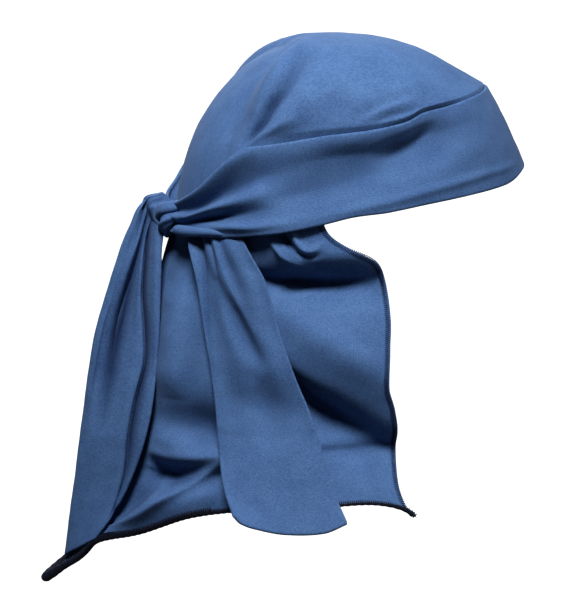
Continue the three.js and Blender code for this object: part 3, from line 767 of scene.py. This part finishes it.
# %% The near tie
NEAR_TIE = table(
    "way left right drop off gather",
    (0, 0.24, 0.56, 0.014, 3.8, 0.6),
    (0.06, 0.33, 0.665, 0.05, 6.8, 2),
    (0.17, 0.417, 0.688, 0.166, 9, 3.2),
    (0.36, 0.469, 0.718, 0.371, 8, 2.4),
    (0.55, 0.514, 0.765, 0.577, 8, 1.6),
    (0.73, 0.53, 0.79, 0.749, 8, 1),
    (0.88, 0.558, 0.815, 0.906, 8, 0.5),
    (1, 0.592, 0.834, 1.0, 8, 0),
)
NEAR_TIE_END = table(
    "across drop",
    (0, 0), (0.07, 0.03), (0.2, 0.05), (0.45, 0.073), (0.8, 0.076), (1, 0.05),
)
NEAR_TIE_PLEATS = 2.5
NEAR_TIE_FOLDS = {
    "left_pleat": (1.4, [
        (198, 236, -2.4, 3, 2), (203, 275, -2.6, 4, 2), (207, 330, -1.6, 5, 2), (211, 375, -0.5, 6, 3),
        (215, 410, 0, 6, 3),
    ]),
    "left_ridge": (1.8, [
        (190, 238, 1, 3, 3), (196, 280, 1.2, 3, 4), (202, 330, 0.6, 4, 5), (208, 380, 0, 4, 5),
    ]),
    "middle_pleat": (1.4, [
        (208, 236, -1.5, 2, 3), (214, 256, -2, 2, 4), (218, 278, -1, 4, 5), (221, 292, 0, 4, 5),
    ]),
    "right_ridge": (1.6, [
        (214, 234, 2.5, 2, 4), (220, 258, 3, 3, 5), (234, 296, 2.2, 5, 6), (254, 336, 1, 6, 6),
        (270, 370, 0, 6, 6),
    ]),
    "soft_valley": (2, [
        (218, 282, -1, 5, 6), (234, 318, -4, 8, 7), (250, 346, -3.6, 9, 8), (268, 372, 0, 8, 8),
    ]),
    "shade_band": (2, [
        (216, 404, 0, 18, 22), (244, 402, -5, 26, 28), (278, 412, -6.5, 30, 32), (312, 424, 0, 22, 24),
    ]),
}
# Below STRAIGHT_FROM the tie runs on straight, as the flap does over the DROP_STEP before it. Over the
# last KICK_OVER of its length it leaves the flap by up to NEAR_TIE_KICK.
STRAIGHT_FROM, DROP_STEP = 0.93, 0.03
NEAR_TIE_KICK, KICK_OVER = 15.5, 0.3


def near_tie_sheet(way, across):
    row = follow(NEAR_TIE, way)
    along = -blend(row["left"], row["right"], across)
    drop = row["drop"] + follow(NEAR_TIE_END, across)["drop"] * way**3
    low = np.minimum(drop, STRAIGHT_FROM)
    down = flap_sheet(along, low) - flap_sheet(along, low - DROP_STEP)
    point = flap_sheet(along, low) + down * ((drop - low) / DROP_STEP)[..., None]
    to_left = flap_sheet(along - 0.01, low) - flap_sheet(along, low)
    normal = unit(np.cross(down, to_left))
    pleats = 0.35 * row["gather"] * np.cos(2 * np.pi * NEAR_TIE_PLEATS * across)
    kick = NEAR_TIE_KICK * np.clip((way - 1 + KICK_OVER) / KICK_OVER, 0, 1) ** 1.3
    return point + normal * (row["off"] + kick)[..., None], pleats


def make_near_tie():
    across, way = np.meshgrid(np.linspace(0, 1, 141), np.linspace(1, 0, 201))
    smooth, lift = near_tie_sheet(way, across)
    lift = lift + fold_lift(smooth, NEAR_TIE_FOLDS, -1)
    lift = lift + ripple(smooth, (0.5, 24, 4.4), (0.2, 9, 9.1))
    long, wide = FLAT["near_tie"]
    flat = np.stack([across * wide, -way * long], axis=-1)
    return shell("near_tie_cloth", smooth, lift, WALL["tie"], flat)


near_tie = make_near_tie()

# %% The back tie
BACK_TIE = table(
    "way x z reach spread gather",
    (0, -108.5, -3, 3, 6, 0.5),
    (0.03, -113.5, 0.8, 5, 7.5, 1),
    (0.065, -121, 0.2, 9, 9, 1.4),
    (0.1, -127.5, -4.6, 13.5, 10, 1.8),
    (0.14, -131.8, -13.6, 17, 11, 2.2),
    (0.2, -138.2, -28, 21.5, 14, 2.6),
    (0.4, -153.5, -78, 33, 24, 2.4),
    (0.6, -162, -127, 34, 32, 2.2),
    (0.8, -169, -175, 28, 28, 1.6),
    (1, -175, -217, 16, 20, 0.4),
)
BACK_TIE_FOLDS = {
    "top_line": (1.3, [
        (170, 200, -1, 1.5, 1.5), (163, 199, -2, 1.5, 1.5), (155, 202, -2.6, 2, 2), (148, 208, -3, 2, 2),
        (144, 218, -2.4, 2, 2), (139, 236, -1.6, 3, 2), (133, 256, 0, 3, 3),
    ]),
    "panel_valley": (1.5, [
        (160, 203, -2, 2, 2), (154, 208, -4, 3, 2.5), (149, 221, -6, 3.5, 3), (144, 242, -8, 5, 3),
        (138, 264, -9, 7, 4), (131, 292, -11, 9, 6), (123, 326, -12.5, 12, 8), (116, 364, -10.5, 13, 10),
        (109, 400, -6, 13, 10), (103, 436, 0, 10, 8),
    ]),
    "panel_crest": (1.8, [
        (151, 220, 0, 2, 2), (146, 242, 1.6, 2.5, 2), (142, 268, 1.6, 3, 2), (140, 300, 1.2, 4, 3),
        (138, 340, 1, 5, 4), (130, 390, 1.6, 8, 5), (120, 440, 1.6, 9, 5), (106, 490, 0, 9, 6),
    ]),
    "inner_line": (1.3, [
        (156, 212, -2, 2, 1.5), (153, 226, -4.5, 2.5, 2), (150, 242, -6.5, 3, 2), (148, 264, -8, 3.5, 2),
        (146, 296, -8.5, 4, 2), (148, 330, -8.5, 5, 2), (148, 366, -8, 6, 2.5), (139, 402, -7, 7, 2.5),
        (133, 437, -6.5, 7, 3), (128, 477, -5.5, 7, 3.5), (115, 516, -3.6, 7, 3), (104, 540, -1.8, 5, 3),
    ]),
    "side_ridge": (2, [
        (158, 216, 1, 3, 3), (156, 250, 2, 5, 4), (155, 300, 2, 5, 4), (154, 350, 1.6, 5, 4),
        (147, 400, 0, 4, 4),
    ]),
}


# The fold along the tie is sharper as BACK_TIE_ROUND is smaller, and the two corners of the tie's end
# hang BACK_TIE_CORNER millimetres higher than its middle. Its folds are measured over a wide reach for their
# painted shade.
BACK_TIE_ROUND, BACK_TIE_CORNER, BACK_TIE_HOLLOWS = 0.14, 16, 14.0


def back_tie_sheet(way, across):
    row = follow(BACK_TIE, way)
    before, after = follow(BACK_TIE, way - 0.01), follow(BACK_TIE, way + 0.01)
    tangent = unit(stack(after["x"] - before["x"], 0, after["z"] - before["z"]))
    inwards = np.stack([-tangent[..., 2], 0 * way, tangent[..., 0]], axis=-1)
    side, size = np.where(across < 0, -1, 1), abs(across)
    reach = row["reach"] * size**2 * (1 + BACK_TIE_ROUND) / (size + BACK_TIE_ROUND)
    point = stack(row["x"], row["spread"] * size * side, row["z"]) + inwards * reach[..., None]
    point[..., 2] += BACK_TIE_CORNER * size * way**4
    return point, 0.3 * row["gather"] * np.cos(4 * np.pi * size) * ramp(size, 0, 0.3)


def make_back_tie():
    across, way = np.meshgrid(np.linspace(-1, 1, 201), np.linspace(1, 0, 221))
    smooth, lift = back_tie_sheet(way, across)
    lift = lift + side_lift(smooth, BACK_TIE_FOLDS, BACK_TIE_FOLDS, blur=2)
    lift = lift + ripple(smooth, (0.5, 24, 7.3), (0.2, 9, 2.9))
    long, wide = FLAT["back_tie"]
    flat = np.stack([across * wide / 2, -way * long], axis=-1)
    sideways = (ramp(abs(across), 0.04, 0.3) * ramp(way, 0.03, 0.12))[..., None]
    outwards = np.sign(across)[..., None] * np.array([0, 1.0, 0])
    toward = normals_of(smooth) * (1 - sideways) + outwards * sideways
    return shell(
        "back_tie_cloth", smooth, lift, WALL["tie"], flat, toward=toward, reach=BACK_TIE_HOLLOWS
    )


back_tie = make_back_tie()

# %% [markdown]
# ## The knot
# In the knot the two ends of the headband cross. What shows of them is two short rolls of pleated
# cloth: an upper one that comes out from behind the headband's top edge, and a lower one that tapers to
# a point below it. The headband's own lower edge rolls up on itself on its way into them. Each roll is
# swept along its own line, as a strand that grows and shrinks on its way.

# %% Strands
def loft(name, ring, line, girth):
    """A closed body from rings of points along a line. The first and the last ring are points."""
    count, sides = ring.shape[:2]
    index = np.arange(count * sides).reshape(count, sides)
    index[0], index[-1] = index[0, 0], index[-1, 0]
    index = np.c_[index, index[:, :1]]
    run = np.r_[0, np.cumsum(np.linalg.norm(np.diff(line, axis=0), axis=1))] / 1000
    flat = np.stack(np.meshgrid(np.linspace(0, girth, sides + 1), run), axis=-1)
    faces, places = quads_of(index, flat)
    return mesh_piece(name, ring.reshape(-1, 3), faces, places)


def strand(name, stations, pleats, depth, twist, sides=48, steps=80):
    """A rolled strand. Each station is x, y on the drawing, the depth along Y, and its two half widths."""
    path = smooth_line(stations, steps // (len(stations) - 1))
    middle = placed(path[:, 0], path[:, 1], path[:, 2])
    tangent = unit(np.gradient(middle, axis=0))
    upright = np.array([0.0, 0.0, 1.0])
    broad = unit(upright - tangent * (tangent @ upright)[:, None])
    flat_side = np.cross(tangent, broad)
    spin = np.linspace(0, 2 * np.pi, sides, endpoint=False)[None, :, None]
    way = np.linspace(0, 1, len(path))[:, None, None]
    wave = 1 + depth * np.cos(pleats * spin + twist * way * 2 * np.pi)
    close = np.sqrt(np.clip(1 - (2 * way - 1) ** 6, 0, 1))
    ring = (
        middle[:, None]
        + broad[:, None] * (path[:, 3, None, None] * np.cos(spin) * wave * close)
        + flat_side[:, None] * (path[:, 4, None, None] * np.sin(spin) * wave * close)
    )
    piece = loft(name, ring, middle, girth=0.04)
    volume = sum(
        Vector(a).dot(Vector(b).cross(Vector(c))) for a, b, c in
        ([piece.data.vertices[i].co for i in list(p.vertices)[:3]] for p in piece.data.polygons)
    )
    if volume < 0:
        piece.data.flip_normals()
    print(f"{name}: {len(piece.data.polygons)} faces")
    return piece


# %% The rolls of the knot
knot_wrap = strand("knot_wrap_cloth", [
    (192, 205, -15, 2, 2.5), (185, 205.5, -17, 3, 3.6), (177, 206.5, -19, 3.8, 4.4),
    (169, 208.5, -17.5, 4.2, 5), (164, 211, -13.5, 4.6, 4.6), (161.5, 215, -6, 6.4, 4.4),
    (161.5, 215, 3, 6.4, 4.4), (165, 211, 12, 4.6, 4.4), (178, 208, 16, 3, 3.6),
], pleats=4, depth=0.05, twist=0.5)
knot_core = strand("knot_core_cloth", [
    (186, 214, -21, 2, 2.6), (180, 214, -20.5, 2.8, 3.6), (173.5, 216.5, -20, 3.4, 4.2),
    (168, 220.5, -18.5, 4, 4.8), (166, 226, -15, 4, 4.6), (167, 229, -6, 4.6, 4.6),
    (167, 229, 4, 4.6, 4.4), (171, 224, 13, 3.6, 4), (178, 218, 17, 2.4, 3),
], pleats=5, depth=0.08, twist=0.8)
band_roll = strand("headband_roll", [
    (174, 228.5, -23, 2.8, 2.9), (178, 230, -27, 3.3, 3.3), (186, 231.3, -35, 3.3, 3.4),
    (197, 232, -43.6, 2.8, 3), (210, 232.4, -50.6, 2.2, 2.5), (224, 234, -54.6, 1.6, 2),
    (240, 235, -57.5, 1, 1.5), (256, 234, -60, 0.6, 1),
], pleats=2, depth=0.03, twist=0.4)

# %% [markdown]
# ## The hem and its thread
# The hem is a narrow curled roll, overcast in near-black navy thread. The front edges are overcast in a
# paler thread, without a roll. The roll is a tube along the flap's lower edge. The stitches are the same
# small loop hundreds of times, so Geometry Nodes lay them along the edges.

# %% The flap's edges
flap_normals = normals_of(flap_points)
hem_line, hem_normal = flap_points[0], flap_normals[0]
HALF_WALL = WALL["flap"] / 2
print(f"hem {np.linalg.norm(np.diff(hem_line, axis=0), axis=1).sum():.0f} mm long")


def tube(name, line, radius, sides=14):
    """A closed tube along a line of points, with a radius for each."""
    tangent = unit(np.gradient(line, axis=0))
    side = unit(np.cross(tangent, np.array([0.0, 0.0, 1.0])))
    other = np.cross(side, tangent)
    spin = np.linspace(0, 2 * np.pi, sides, endpoint=False)[None, :, None]
    around = side[:, None] * np.cos(spin) + other[:, None] * np.sin(spin)
    ring = line[:, None] + radius[:, None, None] * around
    ring[0], ring[-1] = line[0], line[-1]
    return loft(name, ring, line, girth=0.01)


def make_hem_roll():
    """The curled hem, thicker along the back, and thicker again at its long point and its two ends."""
    middle = smooth_line(hem_line - hem_normal * HALF_WALL, 3)
    ends = np.minimum(np.arange(len(middle)), np.arange(len(middle))[::-1])
    spine = abs(np.linspace(-1, 1, len(middle)))
    radius = 0.95 + 0.85 * (1 - ramp(spine, 0.45, 0.62)) + 1.3 * np.exp(-((spine / 0.05) ** 2))
    radius += 0.6 * np.exp(-(((spine - 1) / 0.05) ** 2)) + 0.1 * np.sin(np.arange(len(middle)) * 0.9)
    radius *= np.clip(ends / 4, 0.2, 1)
    return tube("hem_roll", middle, radius)


hem_roll = make_hem_roll()


# %% Nodes and sums of sockets
class Value:
    """A socket that takes part in sums, so that 1 - mask adds its Math node."""

    def __init__(self, nodes, socket):
        self.nodes, self.socket = nodes, socket

    def math(self, operation, a, b):
        return self.nodes.node("ShaderNodeMath", {"operation": operation}, {0: a, 1: b})

    def __add__(self, other):
        return self.math("ADD", self, other)

    def __sub__(self, other):
        return self.math("SUBTRACT", self, other)

    def __rsub__(self, other):
        return self.math("SUBTRACT", other, self)

    def __mul__(self, other):
        return self.math("MULTIPLY", self, other)

    __radd__, __rmul__ = __add__, __mul__


class Nodes:
    """Adds nodes to a tree and links them: any node by its type, its settings and its inputs."""

    def __init__(self, tree):
        self.tree = tree

    def node(self, kind, settings=None, inputs=None, output=0):
        made = self.tree.nodes.new(kind)
        for name, value in (settings or {}).items():
            setattr(made, name, value)
        for name, value in (inputs or {}).items():
            if isinstance(value, Value):
                self.tree.links.new(value.socket, made.inputs[name])
            else:
                made.inputs[name].default_value = value
        return Value(self, made.outputs[output]) if made.outputs else None


# %% Stitches along a line
def stitch_tree():
    """Loops of thread along a line of points: an oval, leaned and set upright on the cloth's edge."""
    tree = bpy.data.node_groups.new("overlock", "GeometryNodeTree")
    sizes = {"Spacing": 0.0017, "Reach": 0.005, "Height": 0.0026, "Thread": 0.00035, "Slant": 0.5}
    tree.interface.new_socket("Line", in_out="INPUT", socket_type="NodeSocketGeometry")
    for name, value in sizes.items():
        socket = tree.interface.new_socket(name, in_out="INPUT", socket_type="NodeSocketFloat")
        socket.default_value = value
    tree.interface.new_socket("Finish", in_out="INPUT", socket_type="NodeSocketMaterial")
    tree.interface.new_socket("Stitches", in_out="OUTPUT", socket_type="NodeSocketGeometry")
    w = Nodes(tree)
    given = {name: w.node("NodeGroupInput", output=name) for name in ("Line", *sizes, "Finish")}
    half_reach, half_height = given["Reach"] * 0.5, given["Height"] * 0.5
    circle = w.node("GeometryNodeCurvePrimitiveCircle", None, {"Resolution": 9, "Radius": 1.0})
    place = w.node("GeometryNodeInputPosition")
    x, y = (w.node("ShaderNodeSeparateXYZ", None, {0: place}, output=axis) for axis in "XY")
    oval = w.node("ShaderNodeCombineXYZ", None, {
        "X": x * (given["Slant"] * half_reach), "Y": x * half_reach, "Z": y * half_height,
    })
    loop = w.node("GeometryNodeSetPosition", None, {"Geometry": circle, "Position": oval})
    section = w.node("GeometryNodeCurvePrimitiveCircle", None, {"Resolution": 4, "Radius": given["Thread"]})
    thread = w.node("GeometryNodeCurveToMesh", None, {"Curve": loop, "Profile Curve": section})
    curve = w.node("GeometryNodeMeshToCurve", None, {"Mesh": given["Line"]})
    points = w.node("GeometryNodeResampleCurve", {"mode": "LENGTH"}, {
        "Curve": curve, "Length": given["Spacing"],
    })
    normal = w.node("GeometryNodeInputNamedAttribute", {"data_type": "FLOAT_VECTOR"}, {"Name": "facing"})
    upright = w.node("FunctionNodeAlignRotationToVector", {"axis": "Z"}, {"Vector": normal})
    turned = w.node("FunctionNodeAlignRotationToVector", {"axis": "X", "pivot_axis": "Z"}, {
        "Rotation": upright, "Vector": w.node("GeometryNodeInputTangent"),
    })
    many = w.node("GeometryNodeInstanceOnPoints", None, {
        "Points": points, "Instance": thread, "Rotation": turned,
    })
    real = w.node("GeometryNodeRealizeInstances", None, {"Geometry": many})
    finished = w.node("GeometryNodeSetMaterial", None, {"Geometry": real, "Material": given["Finish"]})
    w.node("NodeGroupOutput", None, {0: finished})
    return tree


def lay_stitches(name, line, facing, tree, sizes, finish):
    """A plain mesh of stitches along a line of points in millimetres, each facing its own way."""
    mesh = bpy.data.meshes.new(name + "_line")
    mesh.from_pydata((line / 1000).tolist(), [(i, i + 1) for i in range(len(line) - 1)], [])
    attribute = mesh.attributes.new("facing", "FLOAT_VECTOR", "POINT")
    attribute.data.foreach_set("vector", facing.astype(np.float32).ravel())
    guide = bpy.data.objects.new(name + "_line", mesh)
    bpy.context.collection.objects.link(guide)
    modifier = guide.modifiers.new("stitches", "NODES")
    modifier.node_group = tree
    ids = {item.name: item.identifier for item in tree.interface.items_tree if item.in_out == "INPUT"}
    for key, value in {**sizes, "Finish": finish}.items():
        modifier[ids[key]] = value
    ready = guide.evaluated_get(bpy.context.evaluated_depsgraph_get())
    made = bpy.data.meshes.new_from_object(ready)
    made.name = name
    bpy.data.objects.remove(guide)
    piece = bpy.data.objects.new(name, made)
    bpy.context.collection.objects.link(piece)
    print(f"{name}: {len(made.polygons)} faces")
    return piece


# %% [markdown]
# ## Jersey
# Jersey is a fine knit: ribs of little loops, a fraction of a millimetre wide, in yarn that takes the
# dye unevenly. From here it reads as a matte blue with a fine heather along its courses. The finish is
# worked out on the flat cloth, from the UV map, so that it follows each piece as it bends.

# %% A finish
class Finish(Nodes):
    """A material and its nodes."""

    def __init__(self, name):
        self.material = bpy.data.materials.new(name)
        self.material.use_nodes = True
        super().__init__(self.material.node_tree)
        self.tree.nodes.clear()

    def mix(self, amount, a, b):
        return self.node("ShaderNodeMix", {"data_type": "RGBA"}, {0: amount, 6: a, 7: b}, output=2)

    def finish(self, colour, roughness, normal, sheen=0.0):
        shader = self.node("ShaderNodeBsdfPrincipled", None, {
            "Base Color": colour, "Roughness": roughness, "Normal": normal,
            "Specular IOR Level": 0.2, "Sheen Weight": sheen, "Sheen Roughness": 0.5,
        })
        self.node("ShaderNodeOutputMaterial", None, {"Surface": shader})
        return self.material


def linear(*colour):
    """An sRGB colour of 0 to 255 as the linear colour that a shader takes."""
    parts = [c / 255 for c in colour]
    return (*[c / 12.92 if c <= 0.04045 else ((c + 0.055) / 1.055) ** 2.4 for c in parts], 1)


# %% The knit
def jersey(name, colour, shade, painted_shade_blue, seed):
    """Jersey of a main colour, with darker yarn of another, and with painted shade down in its folds."""
    f = Finish(name)
    cloth = f.node("ShaderNodeUVMap", {"uv_map": "cloth"})
    body = f.node("ShaderNodeTexCoord", output=3)

    def grain(scale, detail=2.0, place=cloth):
        stretched = f.node("ShaderNodeMapping", None, {0: place, 1: (seed, seed * 2, seed * 3), 3: scale})
        return f.node("ShaderNodeTexNoise", None, {"Vector": stretched, "Scale": 1.0, "Detail": detail})

    heather = grain((700, 1700, 1))
    loops = grain((1300, 1700, 1), 1.0)
    mottle = grain((55, 90, 1), 3.0)
    broad = grain((22, 22, 22), 2.0, body)
    yarn = 0.5 + (heather - 0.5) * 1.8 + (mottle - 0.5) * 0.6 + (broad - 0.5) * 0.4
    tint = f.mix(f.node("ShaderNodeClamp", None, {0: yarn}), shade, colour)
    # Painted shade: the colour turns to a dark blue down in the folds, as deep as they lie.
    hollow = f.node("ShaderNodeAttribute", {"attribute_name": "hollow"}, output=2)
    tint = f.mix(hollow * 0.8, tint, painted_shade_blue)
    ribs = f.node("ShaderNodeTexWave", {"wave_type": "BANDS", "bands_direction": "X"},
                  {"Vector": cloth, "Scale": 350.0, "Distortion": 1.2, "Detail": 1.0, "Detail Scale": 3.0})
    relief = ribs * 0.35 + heather * 0.6 + loops * 0.5 + mottle * 0.8
    bump = f.node("ShaderNodeBump", None, {"Strength": 0.35, "Distance": 0.0004, "Height": relief})
    roughness = 0.82 + (heather - 0.5) * 0.2
    return f.finish(tint, roughness, bump, sheen=0.04)


def thread(name, colour, shade):
    """Twisted sewing thread."""
    f = Finish(name)
    body = f.node("ShaderNodeTexCoord", output=3)
    fibre = f.node("ShaderNodeTexNoise", None, {"Vector": body, "Scale": 900.0, "Detail": 2.0})
    tint = f.mix(fibre, shade, colour)
    bump = f.node("ShaderNodeBump", None, {"Strength": 0.5, "Distance": 0.0003, "Height": fibre})
    return f.finish(tint, 0.6 + fibre * 0.2, bump, sheen=0.1)


# The third colour is a painted shade for the bottoms of the folds.
BLUE, DEEP, PAINTED_SHADE_BLUE = linear(89, 120, 162), linear(58, 86, 130), linear(18, 35, 72)
jerseys = {
    "crown": jersey("crown_jersey", BLUE, DEEP, PAINTED_SHADE_BLUE, 0.11),
    "headband": jersey("headband_jersey", BLUE, DEEP, PAINTED_SHADE_BLUE, 0.37),
    "neck_flap": jersey("flap_jersey", BLUE, DEEP, PAINTED_SHADE_BLUE, 0.59),
    "near_tie": jersey("near_tie_jersey", BLUE, DEEP, PAINTED_SHADE_BLUE, 0.73),
    "back_tie": jersey("back_tie_jersey", BLUE, DEEP, PAINTED_SHADE_BLUE, 0.91),
    "knot": jersey("knot_jersey", BLUE, DEEP, PAINTED_SHADE_BLUE, 1.17),
}
navy = thread("navy_thread", linear(15, 21, 46), linear(6, 9, 22))
edge_thread = thread("edge_thread", linear(44, 66, 108), linear(24, 36, 64))

# %% Stitches on the flap
overlock = stitch_tree()
HEM_STITCH = {"Spacing": 0.0011, "Reach": 0.0046, "Height": 0.0042, "Thread": 0.0003, "Slant": 0.3}
FRONT_STITCH = {"Spacing": 0.0011, "Reach": 0.0028, "Height": 0.0024, "Thread": 0.00026, "Slant": 0.3}
EDGE_STITCH = {"Spacing": 0.0012, "Reach": 0.0036, "Height": 0.0021, "Thread": 0.00024, "Slant": 0.3}


def moved_in(line, inner, facing, inset):
    """A line on the flap's outer face, moved away from its edge and to the middle of the wall."""
    return line + unit(inner - line) * inset - facing * HALF_WALL


def edge_stitches(name, column, inner_column):
    facing = flap_normals[:, column]
    line = moved_in(flap_points[:, column], flap_points[:, inner_column], facing, inset=1.5)
    return lay_stitches(name, line, facing, overlock, EDGE_STITCH, edge_thread)


hem_thread = moved_in(hem_line, flap_points[3], hem_normal, inset=0.9)
half, quarter = len(hem_line) // 2, len(hem_line) // 4
hem_stitches = [
    lay_stitches(name, hem_thread[part], hem_normal[part], overlock, sizes, navy)
    for name, part, sizes in (
        ("hem_stitches_far", slice(0, half - quarter), FRONT_STITCH),
        ("hem_stitches_back", slice(half - quarter, half + quarter), HEM_STITCH),
        ("hem_stitches_near", slice(half + quarter, None), FRONT_STITCH),
    )
]
near_edge_stitches = edge_stitches("near_edge_stitches", -1, -4)
far_edge_stitches = edge_stitches("far_edge_stitches", 0, 3)

# %% [markdown]
# ## What each piece is
# Every piece rides on the one body of the cap and stands for the CAD solid that it replaces.

# %% Finishes and the body
def declare(piece, slot, finish, *nodes):
    piece.data.materials.clear()
    piece.data.materials.append(finish)
    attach(piece, "root")
    if nodes:
        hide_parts(*nodes)


declare(crown, "crown", jerseys["crown"], "crown")
declare(headband, "headband", jerseys["headband"], "headband")
declare(band_roll, "headband", jerseys["headband"])
declare(flap, "neck_flap", jerseys["neck_flap"], "neck_flap")
declare(near_tie, "near_tie", jerseys["near_tie"], "near_tie")
declare(back_tie, "back_tie", jerseys["back_tie"], "back_tie")
declare(knot_wrap, "knot_wrap", jerseys["knot"], "knot_wrap")
declare(knot_core, "knot_core", jerseys["knot"], "knot_core")
for piece in (hem_roll, *hem_stitches):
    declare(piece, "neck_flap", navy)
for piece in (near_edge_stitches, far_edge_stitches):
    declare(piece, "neck_flap", edge_thread)

# %% [markdown]
# ## Floor, light and backdrop
# The cap was photographed on plain white. A pale floor lies well below it. One strong soft light stands
# high on the camera's side, so each fold has a bright upper flank and a dark lower one. A weaker one
# hangs overhead, a faint one fills from the front, and one on the far side serves the other views. The
# picture's contrast is raised a little, as the photographer's was.

# %% The stage
def lamp(name, place, size, power, at=(-0.04, 0, -0.04)):
    data = bpy.data.lights.new(name, "AREA")
    data.shape, data.size, data.energy = "DISK", size, power
    made = bpy.data.objects.new(name, data)
    bpy.context.collection.objects.link(made)
    made.location = place
    made.rotation_mode = "QUATERNION"
    made.rotation_quaternion = (Vector(at) - Vector(place)).to_track_quat("-Z", "Y")


def white_for_camera(nodes, white, dim, output):
    """White where the camera looks, and a dim shader for the light that reaches the cap."""
    looked_at = nodes.node("ShaderNodeLightPath", output="Is Camera Ray")
    both = nodes.node("ShaderNodeMixShader", None, {0: looked_at, 1: dim, 2: white})
    nodes.node(output, None, {"Surface": both})


def make_floor(s, z):
    mesh = bpy.data.meshes.new("floor")
    mesh.from_pydata([(-s, -s, z), (s, -s, z), (s, s, z), (-s, s, z)], [], [(0, 1, 2, 3)])
    floor = bpy.data.objects.new("floor", mesh)
    bpy.context.collection.objects.link(floor)
    f = Finish("floor_white")
    dim = f.node("ShaderNodeBsdfDiffuse", None, {"Color": (0.2, 0.2, 0.2, 1)})
    white_for_camera(f, f.node("ShaderNodeEmission"), dim, "ShaderNodeOutputMaterial")
    mesh.materials.append(f.material)


def make_world(strength):
    world = bpy.data.worlds.new("studio")
    world.use_nodes = True
    world.node_tree.nodes.clear()
    w = Nodes(world.node_tree)
    white = w.node("ShaderNodeBackground", None, {"Color": (1, 1, 1, 1)})
    soft = w.node("ShaderNodeBackground", None, {"Color": (0.5, 0.72, 1, 1), "Strength": strength})
    white_for_camera(w, white, soft, "ShaderNodeOutputWorld")
    bpy.context.scene.world = world


make_floor(s=6.0, z=-0.75)
make_world(strength=0.03)
lamp("key", (-0.34, -0.8, 1.11), size=0.42, power=23.5)
lamp("top", (-0.35, 0.12, 1.3), size=0.6, power=3)
lamp("fill", (1.05, -0.62, 0.5), size=0.8, power=5)
lamp("far_key", (-0.1, 1.1, 0.7), size=0.8, power=8)
bpy.context.scene.view_settings.view_transform = "Standard"
bpy.context.scene.view_settings.look = "Medium High Contrast"

# %% [markdown]
# ## Up to date
# The view layer is brought up to date at the end.

# %% Update
bpy.context.view_layer.update()
